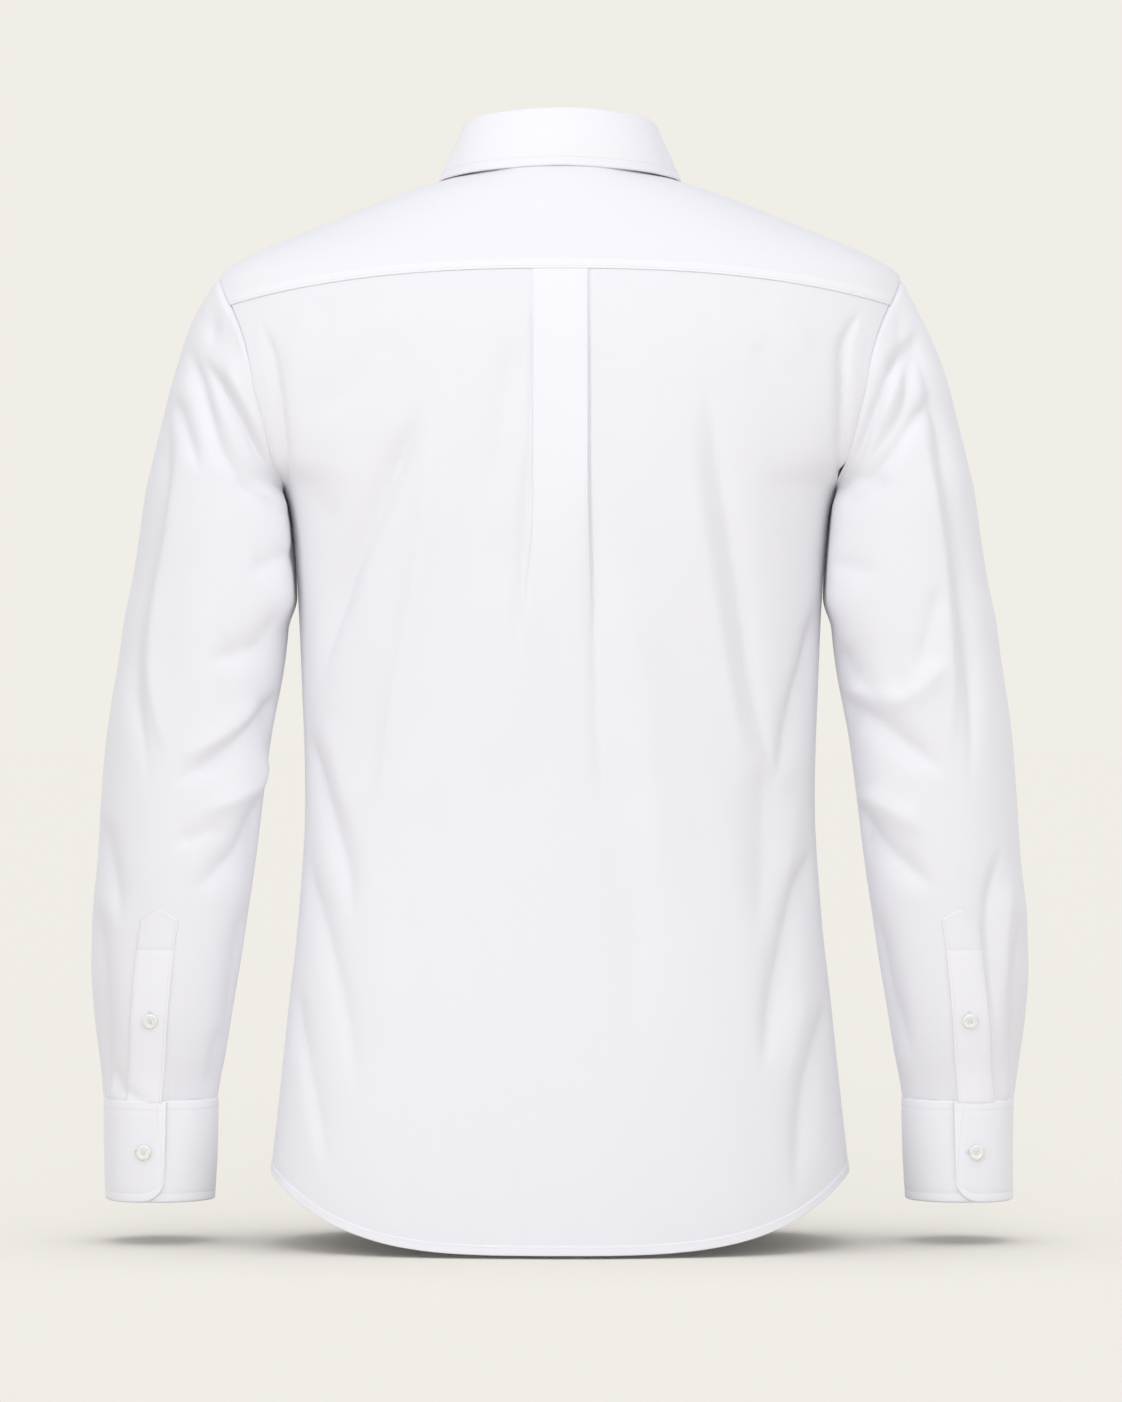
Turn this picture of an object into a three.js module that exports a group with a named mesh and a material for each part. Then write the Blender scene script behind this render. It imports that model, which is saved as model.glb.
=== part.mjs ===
// A long sleeve dress shirt, filled out as it is worn: yoke, box-pleated back, two fronts with a
// buttoned band, two-piece collar, and sleeves with gauntlets and one-button barrel cuffs.
// Millimetres, +Z up. The front faces -Y and the wearer's left is +X. The origin is the centre of
// the neck opening, level with the neck ends of the shoulders, where the wearer holds the shirt up.
import * as THREE from "three";

// Cloth and seams
const CLOTH = 1.2; // wall of one layer of shirting
const DOUBLE = 2.0; // wall of the lined collar and cuffs
const SEAM = 0.3; // space between two pieces at a seam
const LIFT = 0.45; // space under a piece that lies on another

// Heights
const UNDERARM_Z = -222;
const SHOULDER_TIP_Z = -67;
const SIDE_HEM_Z = -713;
const BACK_HEM_Z = -764;
const FRONT_HEM_Z = -752;
const YOKE_BACK_Z = -67.5;
const YOKE_CORNER_Z = -89;
const SLEEVE_END_Z = -663;
const CUFF_END_Z = -735;

// Sizes across
const NECK_HALF = 72; // half the width of the neck seam
const NECK_BACK_Z = 14;
const NECK_DROP = 64; // how far the neck seam falls from back to front
const BAND_HALF = 17; // half the width of the front band
const ARMHOLE_BACK = rad(29); // how far the armhole bites into the back, as a turn
const ARMHOLE_FRONT = rad(33);
const YOKE_FRONT_NECK = rad(118); // where the front yoke seam meets the neck seam
const YOKE_FRONT_ARM = rad(43); // and the armhole
const HEM_POWER = 3.7; // how sharply the shirt tails turn up at the sides
const YOKE_POWER = 2.6;

// Sleeve openings
const CUFF_EDGE = rad(98); // turn of the cuff's rounded front edge
const CUFF_LAP = rad(35); // how far the cuff runs on under itself
const CUFF_CORNER = 17; // radius of the rounded corner
const GAUNTLET_EDGE = rad(96);
const GAUNTLET_WIDTH = 24;
const GAUNTLET_TOP_Z = -529;
const GAUNTLET_POINT = 8; // height of the pointed end

// Collar
const STAND_BACK = 30; // height of the stand at the back and at the front
const STAND_FRONT = 30;
const COLLAR_POINT = rad(151); // turn of the collar's points

// Buttons
const BUTTON_R = 5.5;
const BUTTON_THICK = 2.6;
const FRONT_BUTTONS = 7;
const FIRST_BUTTON_Z = -104;
const BUTTON_PITCH = 84;

// Level sections of the body: half its width, the sideways middle line, how far the back and the
// chest stand out, and how square the section is. Above the underarm they close in as shoulders.
const BODY = [
  { z: 14, half: 70, mid: 8, back: 66, front: -2, square: 2.0 },
  { z: 5, half: 72, mid: 8, back: 73, front: -1, square: 2.0 },
  { z: 0, half: 88, mid: 8, back: 76.5, front: -5, square: 2.0 },
  { z: -8, half: 114, mid: 8, back: 82, front: -14, square: 2.0 },
  { z: -18, half: 140, mid: 8, back: 87, front: -26, square: 2.0 },
  { z: -33, half: 177, mid: 8, back: 94, front: -42, square: 2.0 },
  { z: -54, half: 226, mid: 8, back: 102.5, front: -62, square: 2.0 },
  { z: -67, half: 245, mid: 8, back: 106.5, front: -72, square: 2.0 },
  { z: -90, half: 252, mid: 7, back: 111.5, front: -84, square: 2.0 },
  { z: -120, half: 253, mid: 6, back: 116, front: -97, square: 2.1 },
  { z: -145, half: 251, mid: 5, back: 118, front: -105, square: 2.2 },
  { z: -170, half: 240, mid: 4, back: 119, front: -112, square: 2.2 },
  { z: -200, half: 220, mid: 3, back: 119, front: -118, square: 2.25 },
  { z: -222, half: 200, mid: 2, back: 118, front: -121, square: 2.25 },
  { z: -245, half: 194, mid: 2, back: 117, front: -122, square: 2.25 },
  { z: -285, half: 190.5, mid: 2, back: 113.5, front: -121, square: 2.25 },
  { z: -345, half: 187.5, mid: 1, back: 109, front: -118, square: 2.25 },
  { z: -446, half: 184.5, mid: 0, back: 106, front: -113, square: 2.25 },
  { z: -520, half: 188.5, mid: 0, back: 108.5, front: -113, square: 2.25 },
  { z: -600, half: 197, mid: 0, back: 112.5, front: -115, square: 2.25 },
  { z: -663, half: 203.5, mid: 0, back: 116, front: -117.5, square: 2.3 },
  { z: -713, half: 209, mid: 0, back: 118.5, front: -119, square: 2.3 },
  { z: -766, half: 213, mid: 0, back: 121.5, front: -121, square: 2.3 },
];

// Level sections of a sleeve: its outer and inner sides, and its back and front. Above the
// underarm only the part outside the armhole seam is cloth.
const SLEEVE = [
  { z: -67, outer: 246.8, inner: 60, back: 60, front: -48 },
  { z: -90, outer: 259, inner: 105, back: 61, front: -50 },
  { z: -120, outer: 273, inner: 128, back: 63, front: -54 },
  { z: -145, outer: 281.5, inner: 157, back: 66, front: -59 },
  { z: -170, outer: 287.5, inner: 175, back: 67, front: -61 },
  { z: -200, outer: 294.5, inner: 191.5, back: 69, front: -62 },
  { z: -222, outer: 299.5, inner: 200.6, back: 70, front: -62 },
  { z: -250, outer: 303.5, inner: 198.2, back: 71, front: -62 },
  { z: -285, outer: 309, inner: 195.6, back: 71, front: -62 },
  { z: -315, outer: 315, inner: 196.2, back: 71, front: -61 },
  { z: -345, outer: 319, inner: 199, back: 70, front: -60 },
  { z: -400, outer: 327.5, inner: 209, back: 68, front: -57 },
  { z: -446, outer: 332, inner: 215, back: 66, front: -54 },
  { z: -490, outer: 335, inner: 220.5, back: 63, front: -54 },
  { z: -533, outer: 339, inner: 227, back: 57, front: -55 },
  { z: -565, outer: 339.5, inner: 232, back: 52, front: -56 },
  { z: -600, outer: 337, inner: 238, back: 45, front: -56 },
  { z: -630, outer: 333.5, inner: 243, back: 36, front: -54 },
  { z: -650, outer: 331.7, inner: 247, back: 29, front: -52.5 },
  { z: -663, outer: 331, inner: 249, back: 25.5, front: -51.5 },
];

const CUFF = [
  { z: -663, outer: 331.4, inner: 248.8, back: 26, front: -52 },
  { z: -735, outer: 330.4, inner: 251.4, back: 20.5, front: -56 },
];

// Large folds: a line from one end to the other, its breadth, and its height (troughs below 0).
// On the body, across and z are seen from behind, with the wearer's left positive.
const BACK_FOLDS = [
  { from: [-112, -155], to: [-158, -420], breadth: 15, height: -4 },
  { from: [-186, -325], to: [-158, -430], breadth: 14, height: -3.5 },
  { from: [-184, -450], to: [-150, -640], breadth: 20, height: -5 },
  { from: [98, -180], to: [116, -390], breadth: 16, height: 3 },
  { from: [184, -390], to: [148, -620], breadth: 17, height: -4 },
  { from: [108, -178], to: [168, -215], breadth: 15, height: -3 },
  { from: [30, -330], to: [62, -600], breadth: 26, height: 3 },
  { from: [-36, -330], to: [-78, -600], breadth: 26, height: 3 },
];
const FRONT_FOLDS = [
  { from: [112, -160], to: [160, -215], breadth: 15, height: -3.5 },
  { from: [150, -330], to: [95, -620], breadth: 20, height: -4 },
  { from: [60, -260], to: [70, -560], breadth: 20, height: 3 },
];
// On a sleeve, around is in degrees from the outer side towards the back, about 1 mm each.
const LEFT_SLEEVE_FOLDS = [
  { from: [42, -222], to: [62, -420], breadth: 14, height: -3.5 },
  { from: [165, -374], to: [88, -430], breadth: 12, height: -4.5 },
  { from: [170, -412], to: [114, -456], breadth: 12, height: 4 },
  { from: [172, -446], to: [102, -510], breadth: 14, height: -4 },
  { from: [142, -270], to: [104, -336], breadth: 13, height: -3 },
  { from: [200, -395], to: [262, -450], breadth: 13, height: -4 },
  { from: [208, -440], to: [268, -500], breadth: 13, height: 3.5 },
];
const RIGHT_SLEEVE_FOLDS = [
  { from: [40, -200], to: [48, -300], breadth: 13, height: -3.5 },
  { from: [47, -300], to: [63, -400], breadth: 13, height: -3.5 },
  { from: [69, -295], to: [112, -370], breadth: 13, height: -3.5 },
  { from: [166, -372], to: [90, -420], breadth: 12, height: -4.5 },
  { from: [168, -412], to: [112, -446], breadth: 12, height: 3.5 },
  { from: [165, -456], to: [98, -512], breadth: 14, height: -4 },
  { from: [202, -385], to: [264, -446], breadth: 13, height: -4 },
];
// Two pleats take the sleeve's fullness into the cuff: a ridge beside a trough, at each turn.
const CUFF_PLEATS = [rad(31), rad(-16)];
const PLEAT_LENGTH = 110;

function rad(degrees) {
  return (degrees * Math.PI) / 180;
}

function clamp(value, low, high) {
  return Math.min(high, Math.max(low, value));
}

function ease(value) {
  const t = clamp(value, 0, 1);
  return t * t * (3 - 2 * t);
}

// A column of a table at height z: a smooth curve through its rows that never overshoots them.
function column(table, name, z) {
  const last = table.length - 1;
  if (z >= table[0].z) return table[0][name];
  if (z <= table[last].z) return table[last][name];
  const i = table.findIndex((row) => row.z <= z) - 1;
  const rise = (k) => (table[k + 1][name] - table[k][name]) / (table[k + 1].z - table[k].z);
  const slope = (k) => {
    if (k === 0 || k === last) return rise(k === 0 ? 0 : last - 1);
    const before = rise(k - 1);
    const after = rise(k);
    return before * after <= 0 ? 0 : (2 * before * after) / (before + after);
  };
  const step = table[i + 1].z - table[i].z;
  const t = (z - table[i].z) / step;
  const bend = (1 - t) * slope(i) * (1 - t) * t - t * slope(i + 1) * t * (1 - t);
  return table[i][name] + (table[i + 1][name] - table[i][name]) * ease(t) + bend * step;
}

// The body's form. Turn 0 is the middle of the back and a quarter turn is the wearer's left.
function bodyPoint(turn, z) {
  const [half, mid, back, front, square] = ["half", "mid", "back", "front", "square"].map(
    (name) => column(BODY, name, z),
  );
  const across = Math.sin(turn);
  const reach = Math.cos(turn) >= 0 ? back - mid : front - mid;
  const round = Math.max(0, 1 - Math.abs(across) ** square) ** (1 / square);
  return new THREE.Vector3(half * across, mid + reach * round, z);
}

// The turn at which the body's form is x across at height z, on its back or its front.
function turnAt(x, z, onFront) {
  const turn = Math.asin(clamp(x / column(BODY, "half", z), -1, 1));
  return onFront ? Math.PI - turn : turn;
}

// The neck seam: turn 0 at the back, half a turn at the front.
function neckTurnAndZ(turn) {
  const z = NECK_BACK_Z - NECK_DROP * ((1 - Math.cos(turn)) / 2) ** 3.1;
  const bodyTurn = turnAt(NECK_HALF * Math.abs(Math.sin(turn)), z, Math.cos(turn) < 0);
  const past = Math.abs(turn) > Math.PI ? 2 * Math.PI - bodyTurn : bodyTurn;
  return [Math.sign(turn) * past, z];
}

// The left armhole seam: turn 0 at the shoulder tip, a quarter turn at the back, half at the
// underarm, and a negative turn on the front.
function armholeTurnAndZ(turn) {
  const middle = (SHOULDER_TIP_Z + UNDERARM_Z) / 2;
  const z = middle + ((SHOULDER_TIP_Z - UNDERARM_Z) / 2) * Math.cos(turn);
  const bite = turn >= 0 ? ARMHOLE_BACK : ARMHOLE_FRONT;
  return [Math.PI / 2 - bite * Math.sin(turn), z];
}

const YOKE_BACK_ARM = Math.acos(
  (YOKE_CORNER_Z - (SHOULDER_TIP_Z + UNDERARM_Z) / 2) / ((SHOULDER_TIP_Z - UNDERARM_Z) / 2),
);
const YOKE_CORNER_TURN = armholeTurnAndZ(YOKE_BACK_ARM)[0];

function yokeSeamZ(turn) {
  const share = Math.abs(Math.sin(turn) / Math.sin(YOKE_CORNER_TURN));
  return YOKE_BACK_Z + (YOKE_CORNER_Z - YOKE_BACK_Z) * share ** YOKE_POWER;
}

function hemZ(turn) {
  const centre = Math.cos(turn) >= 0 ? BACK_HEM_Z : FRONT_HEM_Z;
  return centre + (SIDE_HEM_Z - centre) * Math.abs(Math.sin(turn)) ** HEM_POWER;
}

function mix(a, b, t) {
  return a.map((value, k) => value + (b[k] - value) * t);
}

// Fills in between four edges, each a function that gives a pair of numbers.
function patch({ bottom, top, left, right }) {
  return (u, v) => {
    const rows = mix(bottom(u), top(u), v);
    const sides = mix(left(v), right(v), u);
    const corners = mix(mix(bottom(0), bottom(1), u), mix(top(0), top(1), u), v);
    return rows.map((value, k) => value + sides[k] - corners[k]);
  };
}

// The side of the body: the side seam up to the underarm, then the armhole up to armTurn.
const SIDE_SHARE = 0.7;
function sideEdge(v, armTurn, side) {
  const below = [Math.PI / 2, SIDE_HEM_Z + (UNDERARM_Z - SIDE_HEM_Z) * (v / SIDE_SHARE)];
  const climb = (v - SIDE_SHARE) / (1 - SIDE_SHARE);
  const start = Math.sign(armTurn) * Math.PI;
  const [turn, z] = v <= SIDE_SHARE ? below : armholeTurnAndZ(start + (armTurn - start) * climb);
  return [side * turn, z];
}

// How far the folds of a list raise the cloth at a place.
function foldHeight(folds, across, z) {
  return folds.reduce((sum, { from, to, breadth, height }) => {
    const [dx, dz] = [to[0] - from[0], to[1] - from[1]];
    const along = ((across - from[0]) * dx + (z - from[1]) * dz) / (dx * dx + dz * dz);
    const off = ((across - from[0]) * dz - (z - from[1]) * dx) / Math.hypot(dx, dz);
    const ends = ease(along / 0.25 + 0.4) * ease((1 - along) / 0.25 + 0.4);
    return sum + height * ends * Math.exp(-((off / breadth) ** 2));
  }, 0);
}

// The unit normal of a surface, facing away from its side's inside.
function normalOf(surface, u, v) {
  const step = 1e-3;
  const [u0, u1] = [Math.max(0, u - step), Math.min(1, u + step)];
  const [v0, v1] = [Math.max(0, v - step), Math.min(1, v + step)];
  const alongU = surface(u1, v).sub(surface(u0, v));
  const alongV = surface(u, v1).sub(surface(u, v0));
  return alongU.cross(alongV).normalize();
}

// A surface moved out along its normals by the height that raise gives. outward is 1 or -1.
function raised(surface, outward, raise) {
  return (u, v) =>
    surface(u, v).addScaledVector(normalOf(surface, u, v), outward * raise(u, v));
}

function evenly(count) {
  return Array.from({ length: count + 1 }, (_, i) => i / count);
}

// A closed wall under a surface: its outer face is the surface at the given shares, its inner
// face lies a thickness below, and its four edges are drawn in by half the seam space.
function wall(surface, outward, { across, up, thick, trim = SEAM / 2 }) {
  const columns = across.length;
  const points = [[], []];
  for (const v of up)
    for (const u of across) {
      const reachU = surface(1, v).distanceTo(surface(0.98, v)) / 0.02 + 1;
      const reachV = surface(u, 1).distanceTo(surface(u, 0.98)) / 0.02 + 1;
      const inU = clamp(u, trim / reachU, 1 - trim / reachU);
      const inV = clamp(v, trim / reachV, 1 - trim / reachV);
      const outer = surface(inU, inV);
      const normal = normalOf(surface, inU, inV).multiplyScalar(outward);
      points[0].push(outer);
      points[1].push(outer.clone().addScaledVector(normal, -thick));
    }
  const layer = columns * up.length;
  const vertices = points.flat().flatMap((p) => [p.x, p.y, p.z]);
  const faces = [];
  const quad = (a, b, c, d) => faces.push(a, b, c, a, c, d);
  const last = [columns - 1, up.length - 1];
  for (let j = 0; j < last[1]; j++)
    for (let i = 0; i < last[0]; i++) {
      const a = j * columns + i;
      const d = a + columns;
      quad(a, a + 1, d + 1, d);
      quad(layer + a, layer + d, layer + d + 1, layer + a + 1);
    }
  for (let i = 0; i < last[0]; i++) {
    const top = last[1] * columns + i;
    quad(i + 1, i, layer + i, layer + i + 1);
    quad(top, top + 1, layer + top + 1, layer + top);
  }
  for (let j = 0; j < last[1]; j++) {
    const a = j * columns;
    const b = a + last[0];
    quad(a, a + columns, layer + a + columns, layer + a);
    quad(b + columns, b, layer + b, layer + b + columns);
  }
  return closedGeometry(vertices, faces);
}

// A tube's wall closes on itself around and is open at both ends.
function tubeWall(surface, outward, { around, up, thick }) {
  const vertices = [];
  for (const drop of [0, thick])
    for (const v of up)
      for (let i = 0; i < around; i++) {
        const normal = normalOf(surface, i / around, v).multiplyScalar(outward);
        const p = surface(i / around, v).addScaledVector(normal, -drop);
        vertices.push(p.x, p.y, p.z);
      }
  const layer = around * up.length;
  const faces = [];
  const quad = (a, b, c, d) => faces.push(a, b, c, a, c, d);
  const index = (i, j) => j * around + (i % around);
  for (let i = 0; i < around; i++) {
    for (let j = 0; j < up.length - 1; j++) {
      const corners = [index(i, j), index(i + 1, j), index(i + 1, j + 1), index(i, j + 1)];
      quad(...corners);
      quad(...corners.reverse().map((k) => layer + k));
    }
    const top = up.length - 1;
    quad(index(i + 1, 0), index(i, 0), layer + index(i, 0), layer + index(i + 1, 0));
    quad(index(i, top), index(i + 1, top), layer + index(i + 1, top), layer + index(i, top));
  }
  return closedGeometry(vertices, faces);
}

// A geometry whose faces point out whichever way round its surface was given.
function closedGeometry(vertices, faces) {
  let volume = 0;
  const corner = (k) => new THREE.Vector3().fromArray(vertices, 3 * k);
  for (let k = 0; k < faces.length; k += 3)
    volume += corner(faces[k]).dot(corner(faces[k + 1]).cross(corner(faces[k + 2])));
  if (volume < 0) faces.reverse();
  const geometry = new THREE.BufferGeometry();
  geometry.setAttribute("position", new THREE.Float32BufferAttribute(vertices, 3));
  geometry.setIndex(faces);
  geometry.computeVertexNormals();
  return geometry;
}

const shirting = new THREE.MeshStandardMaterial({ color: 0xf4f4f8, roughness: 0.85, metalness: 0 });
const pearl = new THREE.MeshStandardMaterial({ color: 0xe9eae4, roughness: 0.35, metalness: 0 });
const shirt = new THREE.Group();

function add(name, geometry, material = shirting) {
  const mesh = new THREE.Mesh(geometry, material);
  mesh.name = name;
  shirt.add(mesh);
  return mesh;
}

// Back, with the box pleat: a strip raised between two pressed edges that opens out lower down.
const PLEAT_U = 0.032; // half the pleat's width as a share of the back's
const PLEAT_EDGE = 0.006; // breadth of its pressed edge
const PLEAT_RISE = 2.4;
function pleatHeight(u, z) {
  const edge = 1 - ease((Math.abs(u - 0.5) - PLEAT_U) / PLEAT_EDGE + 0.5);
  const atSeam = 1 - 0.65 * ease((z - YOKE_BACK_Z + 40) / 40);
  return PLEAT_RISE * edge * ease((z + 430) / 190) * atSeam;
}

// Folds die out towards sewn edges, so that neighbours still meet there. Each margin is a share.
function awayFromEdges(u, v, { start = 0, end = 0, top = 0 }) {
  const fade = (distance, margin) => (margin ? ease(distance / margin) : 1);
  return fade(u, start) * fade(1 - u, end) * fade(1 - v, top);
}

const backPatch = patch({
  bottom: (u) => [Math.PI * (u - 0.5), hemZ(Math.PI * (u - 0.5))],
  top: (u) => {
    const turn = YOKE_CORNER_TURN * (2 * u - 1);
    return [turn, yokeSeamZ(turn)];
  },
  left: (v) => sideEdge(v, YOKE_BACK_ARM, -1),
  right: (v) => sideEdge(v, YOKE_BACK_ARM, 1),
});
const backSurface = raised(
  (u, v) => bodyPoint(...backPatch(u, v)),
  -1,
  (u, v) => {
    const [turn, z] = backPatch(u, v);
    const fade = awayFromEdges(u, v, { start: 0.04, end: 0.04, top: 0.03 });
    return pleatHeight(u, z) + fade * foldHeight(BACK_FOLDS, bodyPoint(turn, z).x, z);
  },
);

function buildBack() {
  const half = [0.5, 0.46, 0.42, 0.37, 0.32, 0.27, 0.22, 0.17, 0.12, 0.075];
  const edge = [PLEAT_U + PLEAT_EDGE / 2, PLEAT_U - PLEAT_EDGE / 2];
  const left = [...half, ...edge].map((share) => 0.5 - share);
  const right = [...half, ...edge].map((share) => 0.5 + share).reverse();
  const across = [...left, 0.5, ...right];
  add("back_panel", wall(backSurface, -1, { across, up: evenly(19), thick: CLOTH }));
}

// Yoke, from the front seam of one shoulder round the back of the neck to the other.
const YOKE_SIDE = 0.2; // share of the yoke's outer edge that is one armhole
const YOKE_SIDE_NECK = rad(72);
function yokeOuter(u) {
  const side = u < 0.5 ? -1 : 1;
  const fromEnd = Math.min(u, 1 - u);
  if (fromEnd < YOKE_SIDE) {
    const arm = -YOKE_FRONT_ARM + ((YOKE_FRONT_ARM + YOKE_BACK_ARM) * fromEnd) / YOKE_SIDE;
    const [turn, z] = armholeTurnAndZ(arm);
    return [side * turn, z];
  }
  const turn = (YOKE_CORNER_TURN * (0.5 - fromEnd)) / (0.5 - YOKE_SIDE);
  return [side * turn, yokeSeamZ(turn)];
}

function yokeNeck(u) {
  const side = u < 0.5 ? -1 : 1;
  const fromEnd = Math.min(u, 1 - u);
  const beside = YOKE_FRONT_NECK + ((YOKE_SIDE_NECK - YOKE_FRONT_NECK) * fromEnd) / YOKE_SIDE;
  const behind = (YOKE_SIDE_NECK * (0.5 - fromEnd)) / (0.5 - YOKE_SIDE);
  return neckTurnAndZ(side * (fromEnd < YOKE_SIDE ? beside : behind));
}

const yokePatch = patch({
  bottom: yokeNeck,
  top: yokeOuter,
  left: (v) => mix(yokeNeck(0), yokeOuter(0), v),
  right: (v) => mix(yokeNeck(1), yokeOuter(1), v),
});
const yokeSurface = (u, v) => bodyPoint(...yokePatch(u, v));

function buildYoke() {
  const sizes = { across: evenly(40), up: evenly(5), thick: CLOTH };
  add("yoke", wall(yokeSurface, 1, sizes));
}

// Fronts: side 1 is the wearer's left, which laps over the right at the middle.
const NECK_SHARE = 0.4; // share of a front's top edge that is neckline
function frontPatch(side) {
  const centreTurn = (z) => Math.PI + turnAt(BAND_HALF, z, false);
  const neckEnd = Math.PI + Math.asin(BAND_HALF / NECK_HALF);
  const neck = (turn) => neckTurnAndZ(turn);
  const topZ = neck(neckEnd)[1];
  const corner = () => armholeTurnAndZ(-YOKE_FRONT_ARM);
  const flip = ([turn, z]) => [side * turn, z];
  return patch({
    bottom: (u) => {
      const turn = centreTurn(FRONT_HEM_Z) + (Math.PI / 2 - centreTurn(FRONT_HEM_Z)) * u;
      return flip([turn, hemZ(turn)]);
    },
    top: (u) => {
      const onNeck = neckEnd + (YOKE_FRONT_NECK - neckEnd) * (u / NECK_SHARE);
      const onSeam = (u - NECK_SHARE) / (1 - NECK_SHARE);
      return flip(u < NECK_SHARE ? neck(onNeck) : mix(neck(YOKE_FRONT_NECK), corner(), onSeam));
    },
    left: (v) => {
      const z = FRONT_HEM_Z + (topZ - FRONT_HEM_Z) * v;
      return flip([centreTurn(z), z]);
    },
    right: (v) => sideEdge(v, -YOKE_FRONT_ARM, side),
  });
}

const LAP_DROP = CLOTH + LIFT;
const FRONT_ROWS = [...evenly(13).map((v) => v * 0.86), 0.89, 0.92, 0.947, 0.972, 1];
function frontSurface(side) {
  const place = frontPatch(side);
  return raised(
    (u, v) => bodyPoint(...place(u, v)),
    side,
    (u, v) => {
      const [turn, z] = place(u, v);
      const x = bodyPoint(turn, z).x;
      const under = side < 0 ? -LAP_DROP * ease((x + 80) / 36) : 0;
      const fade = awayFromEdges(u, v, { start: 0.12, end: 0.08, top: 0.04 });
      return under + fade * foldHeight(FRONT_FOLDS, Math.abs(x), z);
    },
  );
}

function buildFronts() {
  for (const [name, side] of [
    ["left_front", 1],
    ["right_front", -1],
  ]) {
    const across = [0, 0.08, 0.16, 0.24, 0.32, 0.4, 0.52, 0.64, 0.76, 0.88, 1];
    const sizes = { across, up: FRONT_ROWS, thick: CLOTH };
    add(name, wall(frontSurface(side), side, sizes));
  }
}

// Front band, laid on the left front along its edge: made from that front's own places.
const BAND_SHARE = 0.09; // share of the front that is surely wider than the band
const BAND_TOP = 0.993; // the band stops just under the collar stand
function bandSurface(lift) {
  const place = frontPatch(1);
  const base = (u, v) => {
    const reach = bodyPoint(...place(BAND_SHARE, v)).x + BAND_HALF;
    return bodyPoint(...place((BAND_SHARE * 2 * BAND_HALF * u) / reach, v));
  };
  return raised(base, 1, () => lift);
}

function buildBand() {
  const surface = bandSurface(LIFT + CLOTH);
  const up = [...FRONT_ROWS.slice(0, -1), BAND_TOP];
  add("front_band", wall(surface, 1, { across: evenly(2), up, thick: CLOTH }));
}

// Sleeves. Turn 0 is the outer side, a quarter turn the back, half a turn the inner side.
const CAP_SHARE = 0.3; // share of the sleeve's rows that form its head
const CAP_END_Z = -255;
const ARMHOLE_STEP = 0.8; // the sleeve's head starts this far outside the armhole's edge

function sectionPoint(table, turn, z, grow = 0) {
  const [outer, inner, back, front] = ["outer", "inner", "back", "front"].map((name) =>
    column(table, name, z),
  );
  const x = (outer + inner) / 2 + ((outer - inner) / 2 + grow) * Math.cos(turn);
  const y = (back + front) / 2 + ((back - front) / 2 + grow) * Math.sin(turn);
  return new THREE.Vector3(x, y, z);
}

function sleeveZ(turn, share) {
  const seamZ = armholeTurnAndZ(turn)[1] - SEAM;
  if (share < CAP_SHARE) return seamZ + ((CAP_END_Z - seamZ) * share) / CAP_SHARE;
  const endZ = SLEEVE_END_Z + SEAM;
  return CAP_END_Z + ((endZ - CAP_END_Z) * (share - CAP_SHARE)) / (1 - CAP_SHARE);
}

// The head starts at the armhole seam and eases into the level sections below it.
function sleevePoint(turn, share) {
  const wrapped = turn > Math.PI ? turn - 2 * Math.PI : turn;
  const z = sleeveZ(wrapped, share);
  const p = sectionPoint(SLEEVE, wrapped, z);
  if (share >= CAP_SHARE) return p;
  const seam = bodyPoint(...armholeTurnAndZ(wrapped));
  seam.add(new THREE.Vector3(ARMHOLE_STEP, 0, -SEAM));
  const miss = seam.sub(sectionPoint(SLEEVE, wrapped, sleeveZ(wrapped, 0)));
  return p.addScaledVector(miss, (1 - share / CAP_SHARE) ** 2);
}

function sleeveFoldHeight(folds, turn, z) {
  const around = (turn * 180) / Math.PI;
  const fullness = ease((z - SLEEVE_END_Z) / 12) * ease(1 - (z - SLEEVE_END_Z) / PLEAT_LENGTH);
  const pleats = CUFF_PLEATS.reduce((sum, pleat) => {
    const off = (Math.atan2(Math.sin(turn - pleat), Math.cos(turn - pleat)) * 180) / Math.PI;
    return sum + 2.2 * Math.exp(-(((off - 8) / 9) ** 2)) - 3 * Math.exp(-(((off + 8) / 9) ** 2));
  }, 0);
  return foldHeight(folds, around, z) + fullness * pleats;
}

function sleeveSurface(side, folds) {
  const base = (u, v) => {
    const p = sleevePoint(2 * Math.PI * u, v);
    p.x *= side;
    return p;
  };
  return raised(
    base,
    -side,
    (u, v) => ease(v / 0.08) * sleeveFoldHeight(folds, 2 * Math.PI * u, base(u, v).z),
  );
}

// A gauntlet covers the slit above the cuff: a straight strip with a pointed upper end.
function gauntletSurface(side, folds, lift) {
  const base = (u, v) => {
    const z = SLEEVE_END_Z + SEAM + (GAUNTLET_TOP_Z - SLEEVE_END_Z - SEAM) * v;
    const peak = z - GAUNTLET_POINT * Math.abs(2 * u - 1) * ease((v - 0.6) / 0.4);
    const radius = (column(SLEEVE, "outer", peak) - column(SLEEVE, "inner", peak)) / 2;
    const turn = GAUNTLET_EDGE - (GAUNTLET_WIDTH / radius) * u;
    const p = sectionPoint(SLEEVE, turn, peak);
    p.x *= side;
    return { p, turn };
  };
  return raised(
    (u, v) => base(u, v).p,
    -side,
    (u, v) => lift + sleeveFoldHeight(folds, base(u, v).turn, base(u, v).p.z),
  );
}

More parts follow.
